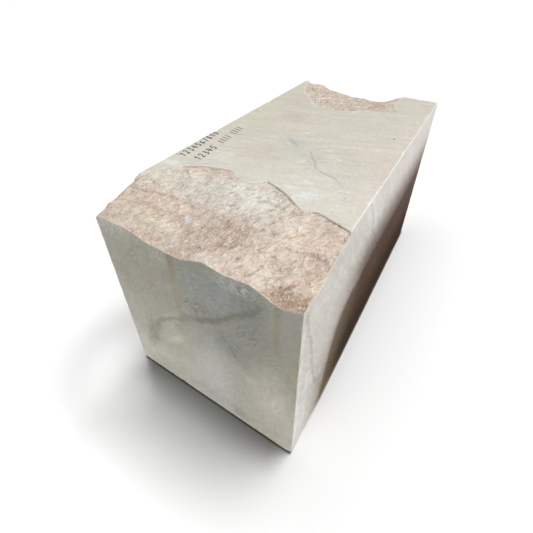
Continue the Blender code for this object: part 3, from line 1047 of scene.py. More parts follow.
class Tree:
    """Adds nodes to one node tree and wires them up."""

    def __init__(self, nodes: bpy.types.NodeTree) -> None:
        """Takes the tree."""
        self.nodes = nodes

    def feed(self, socket: bpy.types.NodeSocket, value: Value | None) -> None:
        """Gives an input its value, or a link where the value is another node's output.

        Args:
            socket: the input.
            value: what it takes, or None to leave it as it is.
        """
        if isinstance(value, bpy.types.NodeSocket):
            self.nodes.links.new(value, socket)
        elif value is not None and socket.type == "RGBA":
            socket.default_value = (*value, 1.0)
        elif value is not None:
            socket.default_value = value

    def add(self, kind: str, *values: Value | None, **settings: str | bool) -> bpy.types.Node:
        """Adds a node.

        Args:
            kind: the node's type, without its leading "ShaderNode".
            values: what its inputs take, in order, with None for one that keeps its default.
            settings: its options.

        Returns:
            The node.
        """
        node = self.nodes.nodes.new("ShaderNode" + kind)
        for name, setting in settings.items():
            setattr(node, name, setting)
        for socket, value in zip(node.inputs, values):
            self.feed(socket, value)
        return node

    def set(self, node: bpy.types.Node, **values: Value) -> None:
        """Gives a node's inputs their values by name."""
        for name, value in values.items():
            self.feed(node.inputs[name], value)

    def turned(self, place: Value, turn: Value, drawn: float = 1.0) -> Socket:
        """Places on axes that are turned, and drawn out along the first of them."""
        reach = (drawn, 1.0, 1.0)
        return self.add("Mapping", place, (0, 0, 0), turn, reach, vector_type="TEXTURE").outputs[0]

    def times(self, one: Value, *others: Value) -> Socket:
        """The product of two numbers or more."""
        for other in others:
            one = self.math("MULTIPLY", one, other)
        return one

    def plus(self, one: Value, other: Value) -> Socket:
        """The sum of two vectors."""
        return self.vector("ADD", one, other)

    def math(self, operation: str, *values: Value) -> Socket:
        """Works out one number from up to three."""
        return self.add("Math", *values, operation=operation).outputs[0]

    def vector(self, operation: str, *values: Value) -> Socket:
        """Works out one vector from up to three."""
        return self.add("VectorMath", *values, operation=operation).outputs[0]

    def scaled(self, vector: Value, factor: Value) -> Socket:
        """A vector, made longer by a factor."""
        return self.add("VectorMath", vector, None, None, factor, operation="SCALE").outputs[0]

    def length(self, vector: Value) -> Socket:
        """The length of a vector."""
        return self.add("VectorMath", vector, operation="LENGTH").outputs[1]

    def ease(self, value: Value, start: Value, end: Value, low: Value = 0.0, high: Value = 1.0) -> Socket:
        """Runs softly from low to high as the value runs from start to end, and stays level beyond them."""
        return self.add(
            "MapRange", value, start, end, low, high, interpolation_type="SMOOTHSTEP"
        ).outputs[0]

    def mix(self, share: Value, one: Value, other: Value, how: str = "MIX") -> Socket:
        """Mixes two colours.

        Args:
            share: how much the other colour counts for, from 0 to 1.
            one: the first colour.
            other: the other colour.
            how: the blend mode.

        Returns:
            The mixed colour.
        """
        node = self.add("Mix", share, data_type="RGBA", blend_type=how)
        self.feed(node.inputs[6], one)
        self.feed(node.inputs[7], other)
        return node.outputs[2]

    def noise(
        self, place: Value, size: Value, detail: float = 3.0, rough: float = 0.5, twist: float = 0.0
    ) -> bpy.types.Node:
        """Adds cloudy noise.

        Args:
            place: where it is read.
            size: about how large its features are.
            detail: how many finer layers it has.
            rough: how strong they are.
            twist: how far it is stirred.

        Returns:
            The noise node.
        """
        node = self.add("TexNoise", place)
        scale = 1.0 / size if isinstance(size, float | int) else self.math("DIVIDE", 1.0, size)
        self.set(node, Scale=scale, Detail=detail, Roughness=rough, Distortion=twist)
        return node

    def noise_value(self, place: Value, size: Value, *more: float) -> Socket:
        """The strength of cloudy noise, which takes what the noise node does."""
        return self.noise(place, size, *more).outputs["Fac"]

    def bump(self, height: Value, strength: float, distance: float) -> Socket:
        """The normal of a surface with fine relief on it."""
        node = self.add("Bump")
        self.set(node, Strength=strength, Distance=distance, Height=height)
        return node.outputs[0]

    def stray(self, place: Value, size: Value, detail: float = 3.0, rough: float = 0.5) -> Socket:
        """Adds a wandering vector.

        Args:
            place: where it is read.
            size: about how far apart its turns are.
            detail: how many finer layers it has.
            rough: how strong they are.

        Returns:
            The vector, each part of which runs from about -0.5 to 0.5.
        """
        parts = self.add("SeparateColor", self.noise(place, size, detail, rough).outputs["Color"])
        return self.vector("SUBTRACT", self.add("CombineXYZ", *parts.outputs[:3]).outputs[0], (0.5, 0.5, 0.5))

    def bent(
        self, place: Value, size: Value, reach: Value, detail: float = 3.0, rough: float = 0.5
    ) -> Socket:
        """Places, moved about by up to half the reach."""
        return self.plus(place, self.scaled(self.stray(place, size, detail, rough), reach))

    def use(self, effect: Effect, *values: Value) -> Socket:
        """Adds a shared effect.

        Args:
            effect: which one.
            values: what it takes, in order.

        Returns:
            What it puts out.
        """
        node = self.nodes.nodes.new("ShaderNodeGroup")
        node.node_tree = effect.group()
        for socket, value in zip(node.inputs, values):
            self.feed(socket, value)
        return node.outputs[0]


@dataclass(frozen=True)
class Effect:
    """A node group that materials share, with one mask, value or colour as its output."""

    label: str
    takes: Sequence[tuple[str, str]]
    gives: tuple[str, str]
    wiring: Callable[..., Socket]

    def group(self) -> bpy.types.ShaderNodeTree:
        """Builds the node group the first time that it is asked for.

        Returns:
            The node group.
        """
        made = bpy.data.node_groups.get(self.label)
        if made:
            return made
        made = bpy.data.node_groups.new(self.label, "ShaderNodeTree")
        for name, kind in self.takes:
            made.interface.new_socket(name=name, in_out="INPUT", socket_type="NodeSocket" + kind)
        name, kind = self.gives
        made.interface.new_socket(name=name, in_out="OUTPUT", socket_type="NodeSocket" + kind)
        tree = Tree(made)
        entry, leave = made.nodes.new("NodeGroupInput"), made.nodes.new("NodeGroupOutput")
        made.links.new(self.wiring(tree, *entry.outputs[: len(self.takes)]), leave.inputs[0])
        return made


def wire_patch(
    t: Tree, place: Socket, centre: Socket, turn: Socket, reach: Socket, ragged: Socket, soft: Socket
) -> Socket:
    """Wires a ragged round patch.

    Args:
        t: the tree.
        place: where it is read.
        centre: its centre.
        turn: how its axes are turned.
        reach: how far it reaches along them.
        ragged: how far its border strays.
        soft: how soft the border is, as a share of the reach.

    Returns:
        1 inside, 0 outside.
    """
    stray = t.plus(t.stray(place, 34.0, 4.0, 0.6), t.scaled(t.stray(place, 9.0, 3.0, 0.6), 0.35))
    moved = t.plus(place, t.scaled(stray, ragged))
    local = t.add("Mapping", moved, centre, turn, reach, vector_type="TEXTURE").outputs[0]
    inner = t.math("SUBTRACT", 1.0, soft)
    outer = t.math("ADD", 1.0, soft)
    return t.ease(t.length(t.vector("MULTIPLY", local, (1, 1, 0))), outer, inner)


PATCH = Effect(
    "ragged patch",
    (("Place", "Vector"), ("Centre", "Vector"), ("Turn", "Vector"), ("Reach", "Vector"), ("Ragged", "Float"),
     ("Softness", "Float")),
    ("Mask", "Float"),
    wire_patch,
)


def wire_line(t: Tree, place: Socket, off: Socket, width: Socket, soft: Socket, patchy: Socket) -> Socket:
    """Wires a line that swells, thins and breaks off.

    Args:
        t: the tree.
        place: where it is read.
        off: how far that is from the line's middle.
        width: the line's width.
        soft: how soft its borders are.
        patchy: how much of it is missing.

    Returns:
        1 on the line, 0 off it.
    """
    swell = t.noise_value(place, 22.0, 3.0, 0.6)
    half = t.times(t.times(width, 0.5), t.ease(swell, 0.3, 0.7, 0.55, 1.5))
    mask = t.ease(t.math("ABSOLUTE", off), t.math("ADD", half, soft), t.times(half, 0.4))
    gaps = t.noise_value(t.plus(place, (37.0, 11.0, 5.0)), 13.0, 3.0, 0.6)
    kept = t.ease(gaps, t.times(patchy, 0.62), t.math("MULTIPLY_ADD", patchy, 0.62, -0.16))
    return t.times(mask, t.math("SUBTRACT", 1.0, t.times(kept, patchy)))


LINE = Effect(
    "broken line",
    (("Place", "Vector"), ("Off", "Float"), ("Width", "Float"), ("Softness", "Float"), ("Patchy", "Float")),
    ("Mask", "Float"),
    wire_line,
)


def wire_clouds(t: Tree, place: Socket, size: Socket, low: Socket, high: Socket) -> Socket:
    """Wires cloudy drifts, 0 to 1, as the noise runs from low to high."""
    return t.ease(t.noise_value(t.bent(place, 70.0, 60.0, 2.0), size, 6.0, 0.62, 0.3), low, high)


CLOUDS = Effect(
    "marble clouds",
    (("Place", "Vector"), ("Size", "Float"), ("Low", "Float"), ("High", "Float")),
    ("Mask", "Float"),
    wire_clouds,
)


def wire_saw(t: Tree, place: Socket, turn: Socket) -> Socket:
    """Wires the long faint streaks that a saw leaves.

    Args:
        t: the tree.
        place: where they are read.
        turn: how their direction is turned.

    Returns:
        0 to 1, around a half.
    """
    turned = t.turned(place, turn)
    wide = t.noise_value(t.vector("MULTIPLY", turned, (0.055, 1.0, 1.0)), 11.0, 3.0, 0.6)
    thin = t.noise_value(t.vector("MULTIPLY", turned, (0.03, 1.0, 1.0)), 2.2, 2.0, 0.6)
    return t.math("MULTIPLY_ADD", wide, 0.6, t.times(thin, 0.4))


SAW = Effect("saw streaks", (("Place", "Vector"), ("Turn", "Vector")), ("Value", "Float"), wire_saw)


def wire_seams(t: Tree, place: Socket, size: Socket, thin: Socket, kept: Socket) -> Socket:
    """Wires fine wandering seams between the clouds of the stone.

    Args:
        t: the tree.
        place: where they are read.
        size: about how far apart they are.
        thin: how wide they are, as a span of the noise that they follow.
        kept: how much of them is missing.

    Returns:
        1 on a seam, 0 off it.
    """
    moved = t.bent(place, 90.0, 110.0, 4.0, 0.6)
    level = t.noise_value(t.vector("MULTIPLY", moved, (1.0, 0.45, 1.0)), size, 1.0, 0.5)
    seam = t.ease(t.math("ABSOLUTE", t.math("SUBTRACT", level, 0.5)), thin, 0.0)
    places = t.noise_value(t.plus(place, (50.0, 90.0, 20.0)), 80.0, 3.0, 0.5)
    return t.times(seam, t.ease(places, kept, t.math("ADD", kept, 0.12)))


SEAMS = Effect(
    "stone seams",
    (("Place", "Vector"), ("Size", "Float"), ("Thinness", "Float"), ("Kept", "Float")),
    ("Mask", "Float"),
    wire_seams,
)


def wire_grain(t: Tree, place: Socket, size: Socket) -> Socket:
    """Wires small crystals.

    Args:
        t: the tree.
        place: where they are read.
        size: how large they are.

    Returns:
        Each crystal's own brightness, 0 to 1.
    """
    node = t.add("TexVoronoi", t.bent(place, t.times(size, 2.0), t.times(size, 1.6), 2.0))
    t.feed(node.inputs["Scale"], t.math("DIVIDE", 1.0, size))
    return t.add("SeparateColor", node.outputs["Color"]).outputs[0]


GRAIN = Effect("crystal grain", (("Place", "Vector"), ("Size", "Float")), ("Value", "Float"), wire_grain)


def wire_rub(t: Tree, place: Socket, edge: Socket, reach: Socket) -> Socket:
    """Wires where the stone is rubbed and bruised along its edges.

    Args:
        t: the tree.
        place: where it is read.
        edge: how far the nearest edge is.
        reach: about how far the wear reaches.

    Returns:
        1 on the edge, 0 far from it.
    """
    coarse = t.noise_value(place, 26.0, 4.0, 0.65)
    fine = t.noise_value(place, 4.0, 3.0, 0.65)
    far = t.times(reach, t.ease(coarse, 0.32, 0.72, 0.25, 2.2))
    rough = t.math("MULTIPLY_ADD", t.math("SUBTRACT", fine, 0.5), reach, edge)
    return t.ease(rough, far, t.times(far, 0.15))


def wire_ridges(t: Tree, place: Socket, size: Socket, thin: Socket) -> Socket:
    """Wires thin winding crests of crystal with furrows between them.

    Args:
        t: the tree.
        place: where they are read.
        size: about how far apart they are.
        thin: how wide they are, as a span of the noise that they follow.

    Returns:
        1 on a crest, 0 in a furrow, a half elsewhere.
    """
    shifts = ((0.0, 0.0, 0.0), (47.0, 85.0, 20.0))
    high, deep = (t.noise_value(t.plus(place, shift), size, 3.0, 0.6, 0.8) for shift in shifts)
    crest = t.ease(t.math("ABSOLUTE", t.math("SUBTRACT", high, 0.5)), thin, 0.0)
    furrow = t.ease(deep, 0.46, 0.3)
    kept = t.noise_value(place, 21.0, 3.0, 0.6)
    bright = t.times(crest, t.ease(kept, 0.34, 0.62, 0.3, 1.0))
    return t.math("MULTIPLY_ADD", t.math("SUBTRACT", bright, furrow), 0.5, 0.5)


RIDGES = Effect(
    "crystal ridges",
    (("Place", "Vector"), ("Size", "Float"), ("Thinness", "Float")),
    ("Value", "Float"),
    wire_ridges,
)
RUB = Effect(
    "rubbed edge", (("Place", "Vector"), ("Edge", "Float"), ("Reach", "Float")), ("Mask", "Float"), wire_rub
)
EFFECTS = (PATCH, LINE, CLOUDS, SAW, SEAMS, GRAIN, RIDGES, RUB)


# ---- Marks in the stone ----


@dataclass(frozen=True)
class Patch:
    """A soft patch of another tone. Its places are in mm, across and up the side that it is on."""

    centre: tuple[float, float]
    reach: tuple[float, float]
    tone: Colour
    strength: float = 1.0
    turn: float = 0.0  # degrees
    ragged: float = 30.0
    soft: float = 0.9

    def mask(self, tree: Tree, place: Socket) -> Socket:
        """Where it shows."""
        turn = (0.0, 0.0, math.radians(self.turn))
        return tree.use(PATCH, place, (*self.centre, 0.0), turn, (*self.reach, 1.0), self.ragged, self.soft)


@dataclass(frozen=True)
class Flecks(Patch):
    """A patch that shows only in scattered flecks, drawn out along their flow."""

    ragged: float = 24.0
    soft: float = 0.6
    size: float = 6.0
    level: float = 0.5
    level_span: float = 0.16
    flow: float = 0.0  # degrees
    drawn: float = 2.2

    def mask(self, tree: Tree, place: Socket) -> Socket:
        """Where it shows.

        Args:
            tree: the tree.
            place: where it is read, in mm.

        Returns:
            1 in a fleck, 0 elsewhere.
        """
        turn = (0.0, 0.0, math.radians(self.flow))
        drawn = tree.turned(place, turn, self.drawn)
        shifted = tree.plus(drawn, (*self.centre, 0.0))
        found = tree.noise_value(shifted, self.size, 4.0, 0.72, 0.2)
        spread = tree.ease(found, self.level, self.level + self.level_span)
        return tree.times(super().mask(tree, place), spread)


@dataclass(frozen=True)
class Vein:
    """A line of another tone through points in mm. An upright one has no two points at one height."""

    points: Points2
    width: float
    tone: Colour
    strength: float = 1.0
    soft: float = 2.0
    upright: bool = False
    wander: float = 5.0
    patchy: float = 0.5
    fade: tuple[float, float] = (12.0, 12.0)

    def mask(self, tree: Tree, place: Socket) -> Socket:
        """Where it shows.

        Args:
            tree: the tree.
            place: where it is read, in mm.

        Returns:
            1 on the vein, 0 elsewhere.
        """
        split = tree.add("SeparateXYZ", tree.bent(place, 16.0, self.wander, 4.0, 0.65))
        run, across = (split.outputs[1], split.outputs[0]) if self.upright else split.outputs[:2]
        points = sorted((b, a) if self.upright else (a, b) for a, b in self.points)
        ends = points[0][0], points[-1][0]
        off = tree.math("SUBTRACT", across, curve_through(tree, run, points))
        mask = tree.use(LINE, place, off, self.width, self.soft, self.patchy)
        start = tree.ease(run, ends[0], ends[0] + self.fade[0])
        end = tree.ease(run, ends[1], ends[1] - self.fade[1])
        return tree.times(mask, tree.times(start, end))


def curve_through(tree: Tree, run: Socket, points: Points2) -> Socket:
    """A smooth curve through given points.

    Args:
        tree: the tree.
        run: the place along the curve.
        points: pairs of a place and a value, sorted by place.

    Returns:
        The curve's value at the place.
    """
    places, values = [p for p, _ in points], [v for _, v in points]
    low, high = min(values) - 1.0, max(values) + 1.0
    node = tree.add("FloatCurve", 1.0, tree.add("MapRange", run, places[0], places[-1]).outputs[0])
    curve = node.mapping.curves[0]
    shares = [((p - places[0]) / (places[-1] - places[0]), (v - low) / (high - low)) for p, v in points]
    for point, share in zip(curve.points, (shares[0], shares[-1])):
        point.location = share
    for share in shares[1:-1]:
        curve.points.new(*share)
    node.mapping.update()
    return tree.math("MULTIPLY_ADD", node.outputs[0], high - low, low)


@dataclass
class Paint:
    """A colour that is built up in layers on one side of the stone."""

    tree: Tree
    place: Socket
    colour: Value

    def lay(self, mask: Value, tone: Value, strength: float = 1.0, how: str = "MIX") -> None:
        """Lays a tone over the colour wherever the mask shows.

        Args:
            mask: where it shows, from 0 to 1.
            tone: the tone.
            strength: how much of it shows at the most.
            how: the blend mode.
        """
        share = mask if strength == 1.0 else self.tree.times(mask, strength)
        self.colour = self.tree.mix(share, self.colour, tone, how)

    def shade(self, factor: Value) -> None:
        """Makes the colour lighter or darker by a factor."""
        self.lay(1.0, factor, how="MULTIPLY")

    def mark(self, marks: Iterable[Patch | Vein]) -> None:
        """Lays each mark over the colour."""
        for mark in marks:
            self.lay(mark.mask(self.tree, self.place), mark.tone, mark.strength)


def new_material(label: str) -> tuple[bpy.types.Material, Tree, bpy.types.Node]:
    """An empty material, its tree, and its shader."""
    material = bpy.data.materials.new(label)
    material.use_nodes = True
    return material, Tree(material.node_tree), material.node_tree.nodes["Principled BSDF"]


def flat_place(tree: Tree, size: BlockSize, axes: tuple[int, int, int]) -> Socket:
    """Places on the stone in mm from its near left corner, with the given axes first, second and third."""
    local = tree.vector("SUBTRACT", tree.add("TexCoord").outputs["Object"], tuple(size.corner))
    split = tree.add("SeparateXYZ", tree.scaled(local, 1 / MM))
    return tree.add("CombineXYZ", *(split.outputs[axis] for axis in axes)).outputs[0]


def attribute(tree: Tree, name: str) -> Socket:
    """A value that the mesh keeps at each of its points."""
    return tree.add("Attribute", attribute_name=name).outputs["Fac"]


LIT_FOOT_MM = 62.0  # how high the painted light at the foot of a side reaches


@dataclass(frozen=True)
class SawnFinish:
    """A sawn side: cloudy stone, faint saw streaks, its own stains and veins, rubbed edges, and painted light at
    its foot where asked.
    """

    side: Side
    tone: Colour
    cloud: Colour
    cloud_size: float = 95.0
    cloud_range: tuple[float, float] = (0.4, 0.68)
    mottle: float = 0.1
    streaks: float = 0.06
    saw_turn: float = 20.0  # degrees
    drift: float = 0.05
    drift_turn: float = 40.0  # degrees
    seams: float = 0.0
    seam_tone: Colour = (0.33, 0.36, 0.33)
    marks: Sequence[Patch | Vein] = ()
    rubbed: Colour = (0.66, 0.645, 0.59)
    rub_reach: float = 2.6
    rub_share: float = 0.75
    foot_painted_light: float = 0.0  # painted light: how much paler the foot is
    roughness: float = 0.48

    def build(self, size: BlockSize) -> bpy.types.Material:
        """Makes the material.

        Args:
            size: the block's size.

        Returns:
            The material.
        """
        material, tree, shader = new_material(self.side.label)
        place = flat_place(tree, size, (self.side.u, self.side.v, self.side.facing))
        paint = Paint(tree, place, self.tone)
        paint.lay(tree.use(CLOUDS, place, self.cloud_size, *self.cloud_range), self.cloud)
        if self.seams:
            paint.lay(tree.use(SEAMS, place, 120.0, 0.012, 0.5), self.seam_tone, self.seams)
        paint.mark(self.marks)
        turn = (0.0, 0.0, math.radians(self.drift_turn))
        drawn = tree.turned(place, turn, 3.0)
        drift = tree.noise_value(drawn, 15.0, 5.0, 0.68, 0.8)
        paint.shade(tree.ease(drift, 0.3, 0.7, 1 - self.drift, 1 + self.drift))
        mottle = tree.noise_value(place, 7.0, 5.0, 0.7)
        paint.shade(tree.ease(mottle, 0.25, 0.75, 1 - self.mottle, 1 + self.mottle))
        streak = tree.use(SAW, place, (0.0, 0.0, math.radians(self.saw_turn)))
        paint.shade(tree.ease(streak, 0.3, 0.7, 1 - self.streaks, 1 + self.streaks))
        rub = tree.use(RUB, place, attribute(tree, "edge_mm"), self.rub_reach)
        paint.lay(rub, self.rubbed, self.rub_share)
        # Painted light: the foot of the side is paler, fading out upwards.
        if self.foot_painted_light:
            high = tree.add("SeparateXYZ", place).outputs[1]
            foot = tree.math("POWER", tree.add("MapRange", high, 0.0, LIT_FOOT_MM, 1.0, 0.0).outputs[0], 3.0)
            paint.shade(tree.math("MULTIPLY_ADD", foot, self.foot_painted_light, 1.0))
        tree.feed(shader.inputs["Base Color"], paint.colour)
        rough = tree.ease(mottle, 0.3, 0.7, self.roughness - 0.05, self.roughness + 0.07)
        rough = tree.math("MULTIPLY_ADD", rub, 0.22, rough)
        tree.feed(shader.inputs["Roughness"], rough)
        height = tree.math("MULTIPLY_ADD", tree.noise_value(place, 1.6, 3.0, 0.6), 0.5, streak)
        tree.feed(shader.inputs["Normal"], tree.bump(height, 0.35, 0.00012))
        return material


@dataclass(frozen=True)
class BrokenFinish:
    """Broken stone: sugary crystals, pink and cream, with brown crevices deepened by painted shade, pale crests
    with painted highlights, and painted glints.
    """

    label: str
    tone: Colour = (0.625, 0.48, 0.38)
    cream: Colour = (0.71, 0.615, 0.49)
    pink: Colour = (0.535, 0.355, 0.27)
    # The crevice tone is brown deepened into painted shade; the crest tone is a painted highlight.
    crevice_brown_and_shade: Colour = (0.33, 0.17, 0.1)
    crest: Colour = (0.9, 0.84, 0.75)
    flow_turn: float = 64.0  # degrees
    # Scattered crystals of other tones, as (size, shift, tone, strength).
    crystals: Sequence[tuple[float, float, Colour, float]] = (
        (5.0, 31.0, (0.67, 0.64, 0.55), 0.26), (4.2, 87.0, (0.47, 0.29, 0.215), 0.28),
        (6.0, 143.0, (0.57, 0.43, 0.29), 0.24), (2.8, 199.0, (0.8, 0.75, 0.68), 0.22),
    )
    marks: Sequence[Patch | Vein] = ()

    def build(self, size: BlockSize) -> bpy.types.Material:
        """Makes the material.

        Args:
            size: the block's size.

        Returns:
            The material.
        """
        material, tree, shader = new_material(self.label)
        place = flat_place(tree, size, (0, 1, 2))
        hollow, rim = attribute(tree, "hollow_mm"), attribute(tree, "rim_mm")
        turn = (0.0, 0.0, math.radians(self.flow_turn))
        flow = tree.turned(place, turn, 2.2)
        paint = Paint(tree, place, self.tone)
        paint.lay(tree.use(CLOUDS, place, 30.0, 0.42, 0.62), self.cream, 0.8)
        beside = tree.plus(place, (300.0, 40.0, 90.0))
        paint.lay(tree.use(CLOUDS, beside, 24.0, 0.48, 0.66), self.pink, 0.65)
        paint.mark(self.marks)
        for large, shift, tone, strength in self.crystals:
            cell = tree.use(GRAIN, tree.plus(flow, (shift, shift, 0.0)), large)
            paint.lay(tree.ease(cell, 0.66, 0.82), tone, strength)
        fine = tree.noise_value(place, 3.4, 5.0, 0.7)
        paint.shade(tree.ease(fine, 0.26, 0.74, 0.88, 1.15))
        grain = tree.use(GRAIN, place, 1.9)
        paint.shade(tree.ease(grain, 0.0, 1.0, 0.92, 1.09))
        wide, close = tree.use(RIDGES, flow, 12.0, 0.022), tree.use(RIDGES, flow, 4.5, 0.06)
        lips = tree.math("MULTIPLY_ADD", close, 0.45, tree.times(wide, 0.55))
        # Painted shade in the hollows, over their brown, and painted highlight on the raised places.
        low = tree.math("MULTIPLY_ADD", tree.math("SUBTRACT", fine, 0.5), 0.7, hollow)
        paint.lay(tree.ease(low, 0.4, 2.4), self.crevice_brown_and_shade, 0.5)
        paint.lay(tree.ease(low, -0.2, -1.3), self.crest, 0.75)
        # Painted shade in the furrows between crystal crests, over brown lines, and painted highlight on the
        # crests.
        paint.lay(tree.ease(lips, 0.45, 0.13), self.crevice_brown_and_shade, 0.78)
        paint.lay(tree.ease(lips, 0.53, 0.8), self.crest, 0.95)
        # Painted glints: the brightest crystals turn near white.
        paint.lay(tree.ease(grain, 0.93, 0.97), (0.88, 0.86, 0.81), 0.55)
        rub = tree.use(RUB, place, attribute(tree, "edge_mm"), 1.5)
        paint.lay(rub, (0.72, 0.66, 0.57), 0.45)
        tree.feed(shader.inputs["Base Color"], paint.colour)
        tree.feed(shader.inputs["Roughness"], tree.ease(grain, 0.0, 1.0, 0.62, 0.4))
        crumbs = tree.noise_value(place, 1.5, 3.0, 0.6)
        height = tree.math("MULTIPLY_ADD", lips, 1.2, tree.math("MULTIPLY_ADD", grain, 0.55, crumbs))
        tree.feed(shader.inputs["Normal"], tree.bump(height, 0.9, 0.0013))
        return material


@dataclass(frozen=True)
class InkFinish:
    """Marker ink on the sawn top, thin where the pen skipped."""

    label: str
    tone: Colour
    stone: Colour = (0.52, 0.5, 0.43)
    skipped: float = 0.28

    def build(self, size: BlockSize) -> bpy.types.Material:
        """Makes the material.

        Args:
            size: the block's size.

        Returns:
            The material.
        """
        material, tree, shader = new_material(self.label)
        place = flat_place(tree, size, (0, 1, 2))
        gaps = tree.noise_value(place, 2.6, 3.0, 0.7)
        thin = tree.ease(gaps, 0.5, 0.8, 0.0, self.skipped)
        tree.feed(shader.inputs["Base Color"], tree.mix(thin, self.tone, self.stone))
        shader.inputs["Roughness"].default_value = 0.5
        return material


OLIVE: Colour = (0.155, 0.155, 0.112)
RUST: Colour = (0.27, 0.235, 0.125)
SLATE: Colour = (0.17, 0.18, 0.168)
WHITE: Colour = (0.7, 0.705, 0.68)
BROWN: Colour = (0.26, 0.15, 0.095)

BAND: Points2 = (
    (346, 412), (330, 385), (314, 366), (290, 346), (268, 324), (243, 304), (205, 282), (180, 267), (160, 252),
)

PALE_CHIPS = (
    ((266, 216), 11, WHITE, 10), ((288, 246), 10, WHITE, 15), ((358, 252), 12, (0.68, 0.67, 0.61), 30),
    ((272, 383), 9, (0.7, 0.66, 0.56), 20), ((357, 438), 12, (0.68, 0.65, 0.57), 30),
    ((187, 440), 9, (0.66, 0.63, 0.56), 20), ((242, 311), 9, (0.67, 0.66, 0.59), 25),
    ((94, 327), 10, (0.67, 0.65, 0.58), 15), ((101, 259), 8, (0.67, 0.65, 0.58), 15),
    ((232, 622), 13, (0.68, 0.67, 0.62), 25),
)

TOP_FINISH = SawnFinish(
    Side.TOP,
    tone=(0.55, 0.521, 0.45),
    cloud=(0.575, 0.532, 0.462),
    cloud_size=120.0,
    streaks=0.055,
    mottle=0.09,
    saw_turn=20.0,
    drift=0.045,
    drift_turn=20.0,
    marks=(
        Flecks((210, 215), (260, 70), (0.69, 0.675, 0.61), 0.55, ragged=30, size=4.5, flow=20),
        Flecks((300, 330), (140, 80), (0.64, 0.62, 0.55), 0.45, ragged=30, size=4.5, level=0.53, flow=20),
        Flecks((200, 205), (230, 30), (0.44, 0.415, 0.34), 0.35, size=4, level=0.52, flow=20),
        Flecks((20, 600), (40, 170), (0.5, 0.5, 0.35), 0.5, ragged=30, size=8, level=0.48, flow=110),
        Flecks((60, 450), (46, 60), (0.5, 0.5, 0.35), 0.5, ragged=30, size=8, level=0.48, flow=120),
        Flecks((130, 520), (70, 50), (0.46, 0.4, 0.31), 0.45, ragged=30, size=7, level=0.48, flow=50),
        Flecks((185, 375), (36, 24), (0.33, 0.385, 0.38), 0.55, ragged=14, size=4, level=0.46, flow=-50),
        Flecks((315, 286), (44, 14), (0.36, 0.385, 0.4), 0.5, ragged=12, size=3.6, level=0.47, flow=-20),
        Flecks((262, 324), (14, 26), (0.3, 0.335, 0.355), 0.6, ragged=10, size=3.4, level=0.45, flow=-60),
        Vein(((14, 797), (28, 757), (47, 717), (70, 683), (98, 652), (118, 628)), 8, (0.66, 0.635, 0.545),
            0.75, 3.5, wander=8, patchy=0.3),
        Vein(((136, 606), (165, 605), (200, 604), (232, 615), (262, 640)), 6, (0.52, 0.455, 0.38), 0.45, 4,
            wander=8, patchy=0.4),
        Patch((200, 205), (260, 75), (0.59, 0.57, 0.5), 0.85, ragged=40),
        Patch((410, 420), (34, 420), (0.598, 0.54, 0.482), 0.75),
        Patch((395, 775), (80, 50), (0.56, 0.52, 0.455), 0.7),
        Patch((62, 625), (46, 56), (0.51, 0.462, 0.39), 0.75, 20),
        Patch((14, 560), (26, 150), (0.545, 0.535, 0.415), 0.6),
        Patch((55, 440), (26, 34), (0.52, 0.52, 0.395), 0.6, 30),
        Patch((108, 512), (34, 20), (0.48, 0.415, 0.335), 0.6, 50, 24, 0.8),
        Patch((155, 300), (46, 30), (0.52, 0.468, 0.412), 0.7, 10),
        Patch((215, 350), (30, 34), (0.505, 0.502, 0.44), 0.5),
        Patch((395, 368), (24, 30), (0.585, 0.5, 0.44), 0.5, ragged=24),
        Patch((304, 204), (24, 13), (0.65, 0.665, 0.64), 0.75, 34, 34, 0.5),
        *(Patch(centre, (reach, 5), tone, 0.6, turn, 14, 0.7) for centre, reach, tone, turn in PALE_CHIPS),
        Patch((118, 625), (22, 4), (0.68, 0.66, 0.6), 0.6, -52, 14, 0.7),
        Patch((22, 172), (16, 10), WHITE, 0.8, 20, 22, 0.6),
        Patch((369, 512), (2.4, 5), (0.23, 0.19, 0.14), 0.75, ragged=4, soft=0.6),
        Patch((376, 507), (4, 12), (0.6, 0.59, 0.53), 0.5, ragged=8, soft=0.7),
        Patch((365, 232), (2.6, 3.5), (0.34, 0.37, 0.37), 0.7, ragged=3, soft=0.7),
        Patch((189, 379), (13, 6), (0.38, 0.42, 0.415), 0.62, -30, 10, 0.8),
        Vein(((150, 410), (170, 396), (188, 382), (203, 366)), 2.6, (0.34, 0.39, 0.39), 0.55, 3, wander=16,
            patchy=0.4),
        Vein(((161, 390), (180, 380), (196, 371), (208, 367)), 2, (0.27, 0.325, 0.325), 0.66, 1.6,
            wander=8, fade=(6, 5)),
        Vein(((196, 332), (202, 347), (210, 363)), 2, (0.34, 0.375, 0.35), 0.6, 1.6, wander=6, fade=(4, 5)),
        Vein(((224, 332), (238, 333), (257, 329)), 5, (0.42, 0.45, 0.41), 0.5, 4, wander=6, patchy=0.3),
        Vein(((227, 359), (238, 358), (250, 345), (260, 326)), 1.8, (0.34, 0.37, 0.36), 0.5, 1.6,
            wander=8, patchy=0.4),
        Vein(((235, 362), (247, 342), (260, 327), (269, 314), (277, 300)), 2.8, (0.28, 0.32, 0.335), 0.66,
            1.8, True, 15, fade=(4, 14)),
        Vein(((274, 302), (292, 292), (317, 285), (331, 277), (347, 272)), 2.4, (0.3, 0.32, 0.34), 0.62,
            1.6, wander=15, patchy=0.6, fade=(4, 14)),
        Vein(((331, 278), (345, 262), (358, 247), (366, 234)), 1.6, (0.4, 0.43, 0.43), 0.4, 2.5, wander=12,
            patchy=0.3),
        Vein(((218, 336), (232, 339), (248, 341)), 6, (0.45, 0.48, 0.43), 0.45, 6, patchy=0.3),
    ),
)

